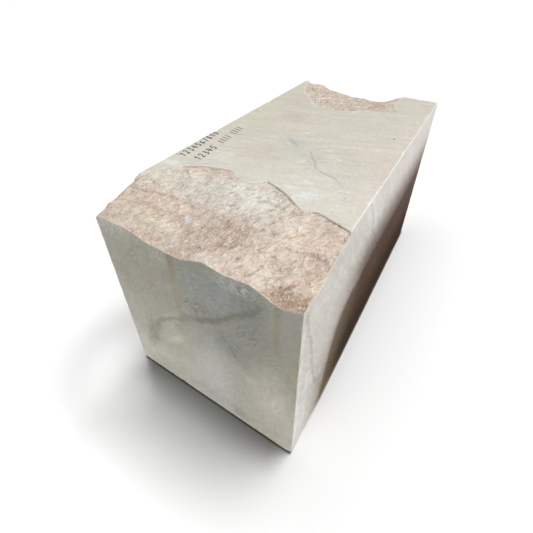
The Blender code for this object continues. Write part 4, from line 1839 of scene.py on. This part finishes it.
NEAR_END_FINISH = SawnFinish(
    Side.NEAR_END,
    tone=(0.4, 0.384, 0.308),
    cloud=(0.42, 0.416, 0.345),
    cloud_size=80.0,
    streaks=0.045,
    mottle=0.14,
    saw_turn=90.0,
    drift=0.075,
    drift_turn=52.0,
    rubbed=(0.56, 0.55, 0.48),
    rub_reach=1.8,
    rub_share=0.6,
    foot_painted_light=0.74,
    marks=(
        # The darker, greener upper half, and the paler foot, which is painted light.
        Patch((285, 345), (150, 125), (0.222, 0.22, 0.168), 0.92, -18, 50),
        Patch((120, 330), (105, 130), (0.305, 0.29, 0.225), 0.8, ragged=40),
        Patch((203, 0), (300, 66), (0.575, 0.555, 0.472), 0.85, soft=0.95),
        Patch((110, 45), (150, 60), (0.55, 0.535, 0.455), 0.75, ragged=50),
        Patch((225, 95), (44, 95), (0.515, 0.5, 0.475), 0.85, -8, 40),
        Patch((372, 110), (46, 120), (0.54, 0.5, 0.428), 0.85, ragged=36, soft=0.8),
        Patch((395, 330), (24, 120), (0.305, 0.285, 0.225), 0.7, ragged=24),
        Patch((108, 175), (26, 66), (0.415, 0.428, 0.345), 0.7, -30, 24, 0.8),
        # Painted light: a paler lower left of the foot.
        Patch((40, 55), (50, 50), (0.56, 0.565, 0.485), 0.6),
        # Blue-grey clouds under the break, with knots and pale crystals in them.
        Patch((245, 375), (58, 50), (0.235, 0.246, 0.226), 0.8, 10, 34, 0.7),
        Patch((228, 235), (34, 20), (0.31, 0.325, 0.32), 0.55, 20, 24, 0.8),
        Patch((318, 385), (24, 44), SLATE, 0.6, -12, 26, 0.8),
        Patch((285, 262), (44, 30), (0.235, 0.24, 0.212), 0.6, -30, soft=0.8),
        Flecks((245, 385), (70, 56), (0.13, 0.14, 0.125), 0.55, size=7, flow=20),
        Flecks((235, 372), (60, 56), (0.42, 0.44, 0.41), 0.5, level=0.52, flow=-20),
        Flecks((214, 318), (32, 22), (0.085, 0.09, 0.078), 0.62, ragged=16, size=5.5, level=0.44, flow=35),
        Flecks((314, 322), (26, 30), (0.085, 0.09, 0.078), 0.55, ragged=18, level=0.46, flow=60),
        Flecks((275, 262), (34, 26), (0.105, 0.11, 0.098), 0.5, ragged=18, size=6.5, level=0.46, flow=-35),
        Flecks((325, 400), (26, 40), (0.085, 0.088, 0.08), 0.65, ragged=18, level=0.46, flow=10),
        Flecks((298, 417), (38, 13), (0.58, 0.615, 0.545), 0.62, ragged=14, size=4.2, level=0.44, flow=-20),
        Flecks((92, 392), (44, 28), (0.4, 0.425, 0.315), 0.6, ragged=20, size=9, level=0.44, flow=50),
        # Chips and bruises along the edges.
        Flecks((30, 416), (40, 20), (0.6, 0.605, 0.545), 0.8, ragged=10, size=5.5, level=0.44, flow=80),
        Flecks((62, 424), (50, 14), (0.56, 0.57, 0.5), 0.75, ragged=10, size=5, level=0.44, flow=80),
        Flecks((140, 404), (20, 16), (0.5, 0.545, 0.42), 0.7, ragged=10, size=4, level=0.44, flow=60),
        # Pale rubs and short scratches.
        Patch((141, 172), (30, 7), (0.56, 0.58, 0.48), 0.7, 44, 12, 0.8),
        Patch((318, 185), (11, 14), (0.48, 0.495, 0.45), 0.55, ragged=16),
        Flecks((370, 143), (20, 22), (0.64, 0.615, 0.53), 0.65, ragged=14, level=0.42, flow=60),
        Flecks((262, 150), (40, 70), (0.5, 0.5, 0.45), 0.4, ragged=20, size=8, level=0.46, flow=88),
        Flecks((280, 130), (22, 70), (0.3, 0.3, 0.26), 0.45, ragged=20, size=7, level=0.44, flow=88),
        Flecks((60, 300), (100, 120), (0.225, 0.205, 0.155), 0.38, ragged=20, size=7, level=0.52, flow=45),
        # The olive band that curves down to the left, and the brown stain that it ends in.
        Vein(BAND, 17, OLIVE, 0.5, 11, wander=22, patchy=0.45, fade=(14, 14)),
        Vein(BAND[:7], 8, (0.095, 0.09, 0.052), 0.6, 7, wander=18, patchy=0.35, fade=(8, 16)),
        Vein(((178, 262), (150, 246), (128, 230), (108, 211), (95, 194), (84, 172)), 9, (0.19, 0.176, 0.12),
            0.66, 8, True, 20, 0.4, (10, 12)),
        Patch((80, 168), (15, 44), (0.225, 0.195, 0.143), 0.62, -28, 20),
        Patch((60, 118), (12, 36), (0.255, 0.222, 0.168), 0.6, -24, 20),
        Flecks((72, 150), (18, 50), (0.19, 0.165, 0.12), 0.45, ragged=18, size=8, level=0.44, flow=60),
        # Rust that has run down from the break.
        Vein(((172, 424), (171, 380), (169, 330), (169, 280), (168, 235), (168, 200)), 12, RUST, 0.55, 7,
            True, 8, 0.3, (110, 2)),
        Vein(((171, 424), (172, 400), (171, 372)), 7, (0.195, 0.155, 0.06), 0.55, 6, True, 8, 0.4, (36, 2)),
        Vein(((166, 210), (164, 170), (160, 125)), 15, (0.44, 0.425, 0.26), 0.5, 9, True, patchy=0.3,
            fade=(30, 20)),
        Vein(((369, 425), (368, 385), (367, 345), (366, 290)), 6, (0.24, 0.195, 0.09), 0.58, 6, True, 6,
            0.4, (50, 2)),
        Patch((394, 287), (6, 7), (0.38, 0.3, 0.11), 0.6, ragged=8, soft=0.8),
        Vein(((396, 290), (401, 268), (402, 245)), 5, (0.46, 0.35, 0.17), 0.5, 3, True, patchy=0.3),
        # Short dark veins, rings and squiggles.
        Vein(((250, 292), (268, 272), (279, 258), (285, 240), (289, 224)), 5, (0.15, 0.155, 0.135), 0.65, 3,
            True, 12),
        Vein(((183, 308), (190, 320), (197, 322)), 3, (0.12, 0.125, 0.105), 0.8, patchy=0.2, fade=(3, 3)),
        Vein(((203, 322), (212, 309), (224, 326), (233, 318)), 3, (0.13, 0.145, 0.13), 0.75, patchy=0.4,
            fade=(3, 3)),
        Flecks((105, 312), (12, 16), (0.3, 0.215, 0.165), 0.7, ragged=10, level=0.42, flow=60),
        Flecks((30, 312), (20, 18), (0.25, 0.215, 0.17), 0.65, ragged=12, level=0.42, flow=-40),
        Flecks((44, 275), (14, 22), (0.24, 0.215, 0.172), 0.6, ragged=12, level=0.44, flow=80),
        Flecks((154, 222), (12, 14), (0.23, 0.185, 0.15), 0.65, ragged=10, size=5, level=0.42, flow=60),
        Flecks((284, 28), (18, 20), (0.27, 0.285, 0.26), 0.65, ragged=14, size=7, level=0.4, flow=70),
    ),
)

RIGHT_FINISH = SawnFinish(
    Side.RIGHT,
    tone=(0.57, 0.532, 0.476),
    cloud=(0.612, 0.576, 0.528),
    cloud_size=110.0,
    streaks=0.075,
    mottle=0.1,
    saw_turn=-52.0,
    drift=0.075,
    drift_turn=-55.0,
    rubbed=(0.78, 0.765, 0.7),
    rub_reach=3.2,
    marks=(
        Flecks((60, 300), (60, 150), (0.4, 0.395, 0.345), 0.45, ragged=30, size=7, level=0.48, flow=-68),
        Flecks((170, 390), (170, 60), (0.7, 0.685, 0.65), 0.65, ragged=30, size=7, flow=-50),
        Flecks((210, 350), (190, 90), (0.4, 0.365, 0.325), 0.45, ragged=30, size=8, level=0.52, flow=-50),
        Flecks((22, 100), (26, 110), (0.68, 0.67, 0.64), 0.6, ragged=20, size=8, level=0.44, flow=-78),
        Flecks((30, 250), (38, 230), (0.74, 0.75, 0.73), 0.85, ragged=16, level=0.46, flow=84, drawn=6),
        Flecks((50, 240), (48, 210), (0.34, 0.345, 0.3), 0.55, ragged=16, level=0.48, flow=-76, drawn=6),
        # A pale streak of the stone just inside the near edge, brightened into a painted sheen.
        Vein(((9, 10), (7, 150), (9, 300), (8, 430)), 6, (0.74, 0.745, 0.715), 0.6, 5, True, 4, fade=(10, 10)),
        Vein(((17, 60), (18, 200), (15, 330), (13, 420)), 2.5, (0.42, 0.43, 0.385), 0.45, 3, True, 6, 0.6),
        Patch((560, 420), (330, 60), (0.62, 0.582, 0.528), 0.7, ragged=50),
        Patch((60, 300), (90, 160), (0.5, 0.465, 0.408), 0.65, 20, 40),
        Patch((140, 415), (100, 30), (0.485, 0.446, 0.4), 0.65, -10),
        Patch((80, 390), (50, 22), (0.575, 0.57, 0.53), 0.55, -20, 34),
        Patch((265, 440), (26, 34), (0.625, 0.625, 0.6), 0.7, -35, 26, 0.8),
        Patch((640, 300), (180, 90), (0.56, 0.506, 0.47), 0.5, -12, 50),
        Vein(((8, 425), (20, 375), (33, 330), (45, 285), (52, 240), (63, 195), (78, 155), (97, 118)), 4.5,
            (0.255, 0.265, 0.22), 0.55, 4.5, True, 22, 0.75),
        Vein(((28, 250), (38, 222), (50, 195), (60, 170)), 10, (0.655, 0.665, 0.64), 0.55, 9, True, 14,
            fade=(30, 20)),
        Vein(((10, 150), (17, 100), (30, 55)), 12, (0.64, 0.64, 0.61), 0.45, 9, True, 12),
        Vein(((92, 128), (110, 85), (126, 50), (138, 10)), 9, (0.44, 0.44, 0.395), 0.45, 6, True, 10, 0.3),
        Vein(((246, 457), (268, 425), (290, 392), (302, 355), (330, 328), (352, 305), (366, 280),
            (386, 262), (412, 238)), 5, (0.36, 0.375, 0.365), 0.62, 4, True, 10, 0.25),
        Vein(((262, 452), (282, 424), (302, 398), (318, 362), (344, 336)), 16, (0.64, 0.645, 0.63), 0.6, 8,
            True, 10, 0.3),
        Vein(((255, 375), (275, 345), (292, 310), (308, 285), (318, 262)), 9, (0.44, 0.45, 0.43), 0.5, 7,
            True, 12, 0.3),
        Vein(((412, 240), (440, 195), (470, 150), (500, 95), (520, 40)), 4, (0.4, 0.39, 0.37), 0.4, 4, True,
            12),
        Patch((12, 412), (14, 10), (0.4, 0.35, 0.29), 0.5, ragged=16, soft=0.8),
    ),
)

LEFT_FINISH = SawnFinish(
    Side.LEFT,
    tone=(0.535, 0.512, 0.44),
    cloud=(0.49, 0.49, 0.425),
    cloud_size=130.0,
    streaks=0.05,
    mottle=0.06,
    saw_turn=64.0,
    drift_turn=58.0,
    seams=0.35,
    marks=(
        Patch((300, 150), (190, 80), (0.575, 0.55, 0.485), 0.6, 18, 50),
        Patch((640, 330), (120, 90), (0.46, 0.465, 0.405), 0.6, -30, 50),
        Patch((120, 380), (80, 50), (0.5, 0.455, 0.38), 0.5, ragged=40),
        Vein(((40, 452), (85, 390), (150, 335), (235, 300), (330, 245), (400, 165), (440, 70)), 8, (0.385,
            0.395, 0.35), 0.6, 6, wander=14, patchy=0.35),
        Vein(((560, 440), (530, 360), (545, 270), (590, 190), (610, 100), (640, 20)), 5, (0.35, 0.37,
            0.355), 0.5, 4, True, 14, 0.45),
        Vein(((205, 440), (207, 380), (204, 310), (203, 250)), 9, RUST, 0.4, 8, True, 14, fade=(110, 6)),
    ),
)

FAR_END_FINISH = SawnFinish(
    Side.FAR_END,
    tone=(0.52, 0.5, 0.43),
    cloud=(0.47, 0.472, 0.405),
    cloud_size=90.0,
    streaks=0.05,
    mottle=0.06,
    saw_turn=-60.0,
    drift_turn=-52.0,
    seams=0.35,
    marks=(
        Patch((120, 120), (110, 80), (0.565, 0.545, 0.48), 0.6, ragged=40),
        Patch((300, 330), (90, 80), (0.43, 0.43, 0.365), 0.6, 20, 40),
        Vein(((60, 420), (110, 340), (180, 285), (260, 240), (330, 160), (350, 60)), 8, (0.34, 0.335, 0.27),
            0.6, 5, wander=12, patchy=0.3),
        Vein(((232, 425), (231, 370), (229, 300), (230, 240)), 9, RUST, 0.45, 8, True, 14, fade=(110, 6)),
    ),
)

BASE_FINISH = SawnFinish(
    Side.BASE, tone=(0.5, 0.47, 0.395), cloud=(0.44, 0.415, 0.345), mottle=0.1, seams=0.3,
    saw_turn=-18.0, drift_turn=-18.0, roughness=0.6,
)

NEAR_FINISH = BrokenFinish(
    "near_break",
    marks=(
        # Greyer crystal ground in the middle and at the back, and its pale green-white drifts.
        Patch((185, 148), (115, 48), (0.655, 0.63, 0.545), 0.78, 6, 40, 0.8),
        Patch((238, 160), (44, 28), (0.62, 0.64, 0.57), 0.55, 35, 40, 0.7),
        Patch((206, 186), (26, 14), (0.58, 0.585, 0.51), 0.55, 10, 26, 0.7),
        Patch((70, 132), (62, 34), (0.64, 0.61, 0.535), 0.6, -30, soft=0.8),
        Patch((128, 134), (50, 34), (0.66, 0.655, 0.59), 0.6, 15, 36, 0.8),
        Patch((18, 130), (26, 30), (0.63, 0.63, 0.575), 0.6, -40, 26, 0.8),
        Patch((14, 152), (12, 8), (0.7, 0.715, 0.695), 0.75, -30, 14, 0.7),
        Patch((30, 102), (9, 5), (0.72, 0.735, 0.71), 0.75, 10, 12, 0.7),
        Patch((365, 160), (18, 7), (0.64, 0.635, 0.59), 0.55, 20, 20, 0.8),
        Patch((332, 127), (12, 7), (0.68, 0.66, 0.6), 0.6, 10, 16, 0.8),
        # Pinker ground.
        Patch((70, 196), (24, 18), (0.52, 0.375, 0.3), 0.75, 35, 22, 0.7),
        Patch((90, 92), (54, 16), (0.58, 0.44, 0.355), 0.6, 6, 28, 0.8),
        Patch((340, 110), (70, 44), (0.72, 0.585, 0.49), 0.7, 8, 34, 0.8),
        Patch((245, 18), (52, 20), (0.77, 0.66, 0.57), 0.7, soft=0.8),
        # The brown hollow and other dark patches.
        Patch((226, 58), (56, 34), (0.44, 0.32, 0.25), 0.66, 18, 36, 0.8),
        Patch((205, 30), (24, 18), (0.46, 0.35, 0.27), 0.55, -30, 24, 0.8),
        Patch((344, 50), (14, 11), (0.3, 0.2, 0.14), 0.6, ragged=18, soft=0.8),
        Patch((393, 55), (10, 14), (0.4, 0.25, 0.165), 0.5, ragged=16, soft=0.8),
        Patch((382, 8), (38, 15), (0.43, 0.255, 0.13), 0.75, ragged=20, soft=0.8),
        Patch((60, 52), (30, 8), (0.43, 0.33, 0.235), 0.5, 8, 20, 0.8),
        Patch((118, 82), (10, 6), (0.4, 0.215, 0.14), 0.65, -30, 10, 0.7),
        Patch((150, 62), (12, 6), (0.4, 0.25, 0.17), 0.55, -30, 14, 0.8),
        Patch((194, 62), (9, 6), (0.33, 0.17, 0.11), 0.55, -40, 10, 0.7),
        # Cream ground near the front edge.
        Patch((140, 30), (36, 14), (0.66, 0.605, 0.49), 0.65, -12, 26, 0.8),
        Patch((60, 22), (44, 14), (0.62, 0.56, 0.46), 0.55, ragged=26, soft=0.8),
        Patch((302, 70), (26, 24), (0.74, 0.65, 0.54), 0.7, 20, 26, 0.8),
        Patch((322, 26), (24, 16), (0.75, 0.65, 0.52), 0.75, ragged=26, soft=0.8),
        Flecks((225, 155), (70, 44), (0.8, 0.83, 0.78), 1.0, level=0.44, flow=72, drawn=4),
        Flecks((120, 155), (90, 50), (0.78, 0.79, 0.72), 0.85, size=5, level=0.47, flow=84, drawn=4),
        Flecks((170, 160), (120, 46), (0.4, 0.285, 0.2), 0.6, size=3.2, flow=78, drawn=5),
        Flecks((330, 110), (80, 50), (0.43, 0.25, 0.175), 0.55, size=3.4, flow=44, drawn=3),
        Flecks((330, 120), (80, 50), (0.79, 0.76, 0.72), 0.7, size=4.2, flow=56, drawn=2.6),
        Flecks((110, 70), (120, 60), (0.46, 0.275, 0.195), 0.5, size=3.4, flow=50, drawn=3),
        Flecks((225, 58), (60, 40), (0.3, 0.215, 0.16), 0.45, ragged=20, size=4, level=0.48, flow=40),
        Flecks((382, 10), (40, 18), (0.22, 0.115, 0.05), 0.75, ragged=14, size=3.6, level=0.46, flow=20),
        Flecks((260, 18), (60, 20), (0.78, 0.76, 0.73), 0.55, ragged=16, size=4, flow=30),
        # Spots: white, orange and black.
        Patch((156, 66), (6, 9), (0.88, 0.88, 0.86), 0.95, 35, 8, 0.6),
        Patch((175, 66), (5, 7), (0.84, 0.84, 0.81), 0.85, 30, 8, 0.6),
        Patch((222, 14), (8, 5), (0.76, 0.75, 0.73), 0.6, 20, 10, 0.7),
        Patch((39, 107), (6.5, 2.4), (0.72, 0.4, 0.06), 0.9, -48, 3, 0.5),
        Patch((81, 41), (4.5, 2.8), (0.7, 0.42, 0.08), 0.85, -20, 3, 0.5),
        Patch((202, 50), (2.4, 1.6), (0.06, 0.045, 0.038), 0.8, ragged=3, soft=0.5),
        Patch((205, 43), (1.4, 2), (0.07, 0.05, 0.04), 0.75, ragged=3, soft=0.5),
        Patch((271, 58), (2.2, 1.8), (0.07, 0.05, 0.04), 0.75, ragged=3, soft=0.5),
        Patch((344, 48), (2.4, 3.4), (0.08, 0.06, 0.04), 0.8, ragged=3, soft=0.5),
        Patch((177, 196), (3, 3), (0.18, 0.13, 0.09), 0.6, ragged=4, soft=0.6),
        # Brown lines that follow the ledges.
        Vein(((4, 78), (34, 85), (55, 90), (92, 96), (120, 98), (144, 96), (162, 92)), 1.2, BROWN, 0.4, 1.3,
            patchy=0.8),
        Vein(((26, 203), (46, 184), (66, 168), (94, 146)), 1.3, BROWN, 0.5, 1.3),
        Vein(((196, 34), (222, 27), (240, 44), (256, 53), (282, 57)), 1.2, BROWN, 0.45, 1.2, patchy=0.7),
        Vein(((322, 74), (338, 82), (356, 86), (374, 91), (404, 89)), 1.2, BROWN, 0.42, 1.2, patchy=0.7),
        Vein(((392, 46), (401, 57), (406, 68)), 1.2, BROWN, 0.5, 1.2, fade=(4, 4)),
        Vein(((118, 122), (121, 140), (124, 160)), 1.6, (0.28, 0.23, 0.18), 0.5, 1.5, True),
        Vein(((290, 88), (293, 104), (298, 122), (306, 142)), 4, (0.74, 0.69, 0.62), 0.6, 3, True),
        Vein(((222, 208), (246, 202), (272, 191), (295, 176), (313, 166)), 2, (0.44, 0.285, 0.18), 0.5,
            1.6, wander=4, patchy=0.4),
        Vein(((340, 170), (362, 165), (382, 159), (405, 152)), 2, (0.42, 0.26, 0.155), 0.5, 1.6, wander=4,
            patchy=0.4),
        Vein(((62, 179), (80, 190), (105, 199), (144, 207)), 1.4, (0.4, 0.27, 0.19), 0.45, 1.5, wander=3,
            patchy=0.3),
    ),
)

FAR_FINISH = BrokenFinish(
    "far_break",
    tone=(0.51, 0.415, 0.34),
    cream=(0.59, 0.51, 0.425),
    pink=(0.445, 0.325, 0.255),
    marks=(
        # Three dark pits, painted as shade in small holes.
        Patch((100, 672), (7, 5), (0.12, 0.07, 0.045), 0.85, -50, 8, 0.7),
        Patch((114, 683), (6, 4), (0.15, 0.09, 0.055), 0.75, -50, 8, 0.7),
        Patch((124, 696), (9, 6), (0.3, 0.18, 0.12), 0.6, -50, 12, 0.8),
        Patch((156, 665), (18, 9), (0.66, 0.56, 0.46), 0.65, -20, 16, 0.8),
        Patch((185, 690), (10, 26), (0.64, 0.55, 0.45), 0.5, 30, 16, 0.8),
        Patch((255, 725), (50, 30), (0.42, 0.29, 0.21), 0.6, soft=0.8),
        Patch((60, 745), (34, 60), (0.47, 0.375, 0.255), 0.6, soft=0.8),
        Patch((306, 710), (18, 46), (0.64, 0.515, 0.45), 0.8, ragged=14, soft=0.8),
        Flecks((190, 700), (120, 80), (0.3, 0.24, 0.17), 0.45, ragged=20, flow=70),
        Flecks((190, 700), (120, 80), (0.66, 0.59, 0.49), 0.45, ragged=20, level=0.53, flow=70),
        Patch((180, 740), (50, 24), (0.56, 0.45, 0.35), 0.5, soft=0.8),
    ),
)


FINISHES = (
    TOP_FINISH, BASE_FINISH, NEAR_END_FINISH, FAR_END_FINISH,
    RIGHT_FINISH, LEFT_FINISH, NEAR_FINISH, FAR_FINISH,
    InkFinish("black_ink", (0.02, 0.018, 0.019)), InkFinish("red_ink", (0.33, 0.05, 0.045)),
)


# ---- The studio ----


@dataclass(frozen=True)
class Camera:
    """The camera, placed from the block's near left corner."""

    place: Vector = Vector((0.51521, -0.26148, 0.79488))
    turn: Euler = Euler([math.radians(a) for a in (53.597, -0.0706, 31.461)])
    lens_mm: float = 23.947
    sensor_mm: float = 36.0
    shift: tuple[float, float] = (-0.00587, -0.101)

    def build(self, size: BlockSize) -> None:
        """Makes the camera and gives it to the scene.

        Args:
            size: the block's size.
        """
        data = bpy.data.cameras.new("camera")
        data.lens, data.sensor_width = self.lens_mm, self.sensor_mm
        data.shift_x, data.shift_y = self.shift
        camera = bpy.data.objects.new("camera", data)
        camera.location = size.corner + self.place
        camera.rotation_euler = self.turn
        bpy.context.scene.collection.objects.link(camera)
        bpy.context.scene.camera = camera


@dataclass(frozen=True)
class Sun:
    """A far lamp, so that it lights the whole floor evenly."""

    name: str
    towards: Vector  # the way to the lamp from the block
    share: float  # of a white surface's brightness, where the surface faces the lamp
    spread: float = math.radians(30)
    shadows: bool = True

    def build(self) -> None:
        """Makes the lamp."""
        data = bpy.data.lights.new(self.name, "SUN")
        data.energy, data.angle, data.use_shadow = self.share * math.pi, self.spread, self.shadows
        lamp = bpy.data.objects.new(self.name, data)
        lamp.rotation_euler = self.towards.to_track_quat("Z", "Y").to_euler()
        lamp.location = 3 * self.towards.normalized()
        bpy.context.scene.collection.objects.link(lamp)


@dataclass(frozen=True)
class LowLamp:
    """A long low lamp in front of the block, which lifts the foot of its near end."""

    share: float = 0.46  # of a white surface's brightness, at the foot of the near end
    away: float = 0.36
    width: float = 0.5
    height: float = 0.04

    def build(self, size: BlockSize) -> None:
        """Makes the lamp.

        Args:
            size: the block's size.
        """
        data = bpy.data.lights.new("low_lamp", "AREA")
        data.shape, data.size, data.size_y = "RECTANGLE", self.width, self.height
        data.energy = self.share * (math.pi * self.away) ** 2
        lamp = bpy.data.objects.new("low_lamp", data)
        lamp.location = size.corner + Vector((0.45 * size.width, -self.away, 0.6 * self.height))
        lamp.rotation_euler = Vector((0, -1, 0)).to_track_quat("Z", "Y").to_euler()
        lamp.visible_camera = False
        bpy.context.scene.collection.objects.link(lamp)


@dataclass(frozen=True)
class CornerLamp:
    """A small lamp over the left side, which thins the shade on the floor beside the near left corner."""

    share: float = 0.38  # of a white surface's brightness, in the middle of its pool
    place: Vector = Vector((-0.1, 0.06, 0.55))
    aim: Vector = Vector((-0.008, -0.03, 0.0))
    cone: float = math.radians(27)
    radius: float = 0.03

    def build(self, size: BlockSize) -> None:
        """Makes the lamp.

        Args:
            size: the block's size.
        """
        data = bpy.data.lights.new("corner_lamp", "SPOT")
        data.spot_size, data.spot_blend, data.shadow_soft_size = self.cone, 1.0, self.radius
        way = self.place - self.aim
        data.energy = self.share * (2 * math.pi * way.length) ** 2
        lamp = bpy.data.objects.new("corner_lamp", data)
        lamp.location = size.corner + self.place
        lamp.rotation_euler = way.to_track_quat("Z", "Y").to_euler()
        lamp.visible_camera = False
        bpy.context.scene.collection.objects.link(lamp)


@dataclass(frozen=True)
class ShadeCard:
    """A clear sheet beside the right side that holds back light, as a lower block beside it would."""

    gap: float = 0.003
    near_mm: float = 15.0
    high_mm: float = 430.0
    veil: Colour = (0.29, 0.235, 0.215)
    core: Colour = (0.16, 0.113, 0.09)
    foot: Colour = (0.072, 0.051, 0.04)
    near_core: Colour = (0.27, 0.222, 0.175)
    halo: Colour = (0.68, 0.65, 0.61)
    far_core: Colour = (0.185, 0.145, 0.128)
    # The shade's upper edge as (y, z), and how soft it is there as (y, reach), all in mm.
    edge: Points2 = (
        (86, -90), (116, 10), (134, 102), (148, 170), (165, 211), (184, 229), (206, 239), (235, 246), (252, 243),
        (266, 240), (290, 250), (330, 253), (420, 256), (600, 260), (820, 264),
    )
    softness: Points2 = ((90, 130), (130, 92), (160, 58), (190, 28), (230, 9), (300, 6), (820, 7))

    def build(self, size: BlockSize) -> None:
        """Makes the sheet, which the camera doesn't see.

        Args:
            size: the block's size.
        """
        x = size.width + self.gap
        y, z = (self.near_mm * MM, size.length), (0.0005, self.high_mm * MM)
        corners = [(x, y[0], z[0]), (x, y[1], z[0]), (x, y[1], z[1]), (x, y[0], z[1])]
        mesh = bpy.data.meshes.new("shade_card")
        mesh.from_pydata([size.corner + Vector(c) for c in corners], [], [(0, 1, 2, 3)])
        card = bpy.data.objects.new("shade_card", mesh)
        card.visible_camera = False
        bpy.context.scene.collection.objects.link(card)
        mesh.materials.append(self.sheet_material(size))

    def sheet_material(self, size: BlockSize) -> bpy.types.Material:
        """The sheet's tint, which light takes on as it passes."""
        material, tree, shader = new_material("shade_card")
        place = flat_place(tree, size, (1, 2, 0))
        y, z = tree.add("SeparateXYZ", place).outputs[:2]
        wobble = tree.noise_value(place, 40.0, 4.0, 0.6)
        depth = tree.math("SUBTRACT", curve_through(tree, y, self.edge), z)
        depth = tree.math("ADD", depth, tree.math("MULTIPLY_ADD", wobble, 14.0, -7.0))
        soft = curve_through(tree, y, self.softness)
        inside = tree.ease(depth, tree.times(soft, -1.0), soft)
        veiled = tree.times(tree.ease(z, 408.0, 258.0), tree.ease(y, 60.0, 330.0))
        paint = Paint(tree, place, (1.0, 1.0, 1.0))
        paint.lay(tree.times(tree.ease(z, 270.0, 90.0), tree.ease(y, 20.0, 120.0)), self.halo)
        paint.lay(veiled, self.veil)
        tone = tree.mix(tree.ease(y, 330.0, 150.0), self.core, self.near_core)
        tone = tree.mix(tree.ease(y, 480.0, 760.0), tone, self.far_core)
        tone = tree.mix(tree.times(tree.ease(z, 235.0, 25.0), tree.ease(y, 100.0, 260.0)), tone, self.foot)
        paint.lay(inside, tone)
        clear = tree.add("BsdfTransparent", paint.colour)
        outlet = next(node for node in material.node_tree.nodes if node.type == "OUTPUT_MATERIAL")
        material.node_tree.nodes.remove(shader)
        tree.feed(outlet.inputs["Surface"], clear.outputs[0])
        return material


@dataclass(frozen=True)
class Studio:
    """A pale floor under a wide, high lamp, with smaller lamps that soften the shade in places, and painted
    shadow on the floor around the block's foot.
    """

    floor_side: float = 200.0
    floor_tone: Colour = (0.84, 0.84, 0.84)
    # Painted shadow on the floor: its tone next to the block, how far it reaches, and how it fades past the
    # corners.
    floor_shadow_tone: Colour = (0.66, 0.66, 0.66)
    floor_shadow_reach: float = 0.34
    corner_fade: float = 0.045
    contact_shadow: float = 0.5  # painted shadow: how much darker the floor is along the foot of the near end
    contact_shadow_reach: float = 0.065
    foot_shadow_line: float = 0.62  # painted shadow: how much darker still it is in the thin gap right under the foot
    foot_gap: float = 0.0024
    sky: float = 0.16
    backdrop: float = 1.0
    suns: Sequence[Sun] = (
        Sun("key", Vector((0.22, 0.28, 1.0)), 1.145, math.radians(34)),
        Sun("right_fill", Vector((1.0, 0.0, 0.0)), 0.44, math.radians(20)),
    )
    low_lamp: LowLamp = LowLamp()
    corner_lamp: CornerLamp = CornerLamp()
    shade: ShadeCard = ShadeCard()

    def build(self, size: BlockSize) -> None:
        """Makes the floor, the lamps and the sky.

        Args:
            size: the block's size.
        """
        shell = bmesh.new()
        bmesh.ops.create_grid(shell, x_segments=1, y_segments=1, size=self.floor_side / 2)
        mesh = bpy.data.meshes.new("floor")
        shell.to_mesh(mesh)
        shell.free()
        floor = bpy.data.objects.new("floor", mesh)
        bpy.context.scene.collection.objects.link(floor)
        material, tree, shader = new_material("floor")
        local = tree.vector("SUBTRACT", tree.add("TexCoord").outputs["Object"], tuple(size.corner))
        middle = (size.width / 2, size.length / 2, 0)
        off = tree.vector("SUBTRACT", tree.vector("ABSOLUTE", tree.vector("SUBTRACT", local, middle)), middle)
        away = tree.length(tree.vector("MAXIMUM", off, (0, 0, 0)))
        # Painted shadow: the floor is darker near the block, fading out with distance and past the corners.
        near = tree.math("POWER", tree.add("MapRange", away, 0.0, self.floor_shadow_reach, 1.0, 0.0).outputs[0], 1.6)
        x, y = tree.add("SeparateXYZ", local).outputs[:2]
        near = tree.times(near, tree.ease(x, -self.corner_fade, self.corner_fade))
        # Painted shadow: darker still along the foot of the near end.
        ahead = tree.math("POWER", tree.add("MapRange", y, -self.contact_shadow_reach, 0.0).outputs[0], 1.3)
        inner = tree.times(tree.ease(x, 0.0, self.corner_fade), tree.ease(y, size.length, 0.0))
        inner = tree.times(inner, tree.ease(x, size.width, size.width - self.corner_fade))
        paint = Paint(tree, local, tree.mix(near, self.floor_tone, self.floor_shadow_tone))
        paint.lay(tree.times(ahead, inner), (0.0, 0.0, 0.0), self.contact_shadow)
        # Painted shadow: darkest in the thin gap right under the foot of the near end.
        gap = tree.ease(y, -2 * self.foot_gap, -self.foot_gap)
        gap = tree.times(gap, tree.ease(y, size.length, 0.0))
        gap = tree.times(gap, tree.ease(x, self.foot_gap, 4 * self.foot_gap))
        gap = tree.times(gap, tree.ease(x, size.width, size.width - self.foot_gap))
        paint.lay(gap, (0.0, 0.0, 0.0), self.foot_shadow_line)
        tree.feed(shader.inputs["Base Color"], paint.colour)
        shader.inputs["Roughness"].default_value = 0.9
        mesh.materials.append(material)
        for sun in self.suns:
            sun.build()
        self.low_lamp.build(size)
        self.corner_lamp.build(size)
        self.shade.build(size)
        self.build_sky()
        bpy.context.scene.view_settings.view_transform = "Standard"
        log.info("studio: %d lamps", len(self.suns) + 2)

    def build_sky(self) -> None:
        """Makes a sky that lights the block dimly, and looks white behind it."""
        world = bpy.data.worlds.new("sky")
        world.use_nodes = True
        tree = world.node_tree
        sky = tree.nodes["Background"]
        sky.inputs["Color"].default_value = (1, 1, 1, 1)
        path = tree.nodes.new("ShaderNodeLightPath")
        strength = tree.nodes.new("ShaderNodeMapRange")
        strength.inputs["To Min"].default_value = self.sky
        strength.inputs["To Max"].default_value = self.backdrop
        tree.links.new(path.outputs["Is Camera Ray"], strength.inputs["Value"])
        tree.links.new(strength.outputs["Result"], sky.inputs["Strength"])
        bpy.context.scene.world = world


def main() -> None:
    """Builds the stone and the studio around it."""
    logging.basicConfig(level=logging.INFO, format="%(name)s: %(message)s")
    size = BlockSize.from_frame()
    finishes = [finish.build(size) for finish in FINISHES]
    log.info("finishes: %d, from %d shared effects", len(finishes), len(EFFECTS))
    MarbleBlock(size).build(finishes)
    Studio().build(size)
    Camera().build(size)


if __name__ == "__main__":
    main()
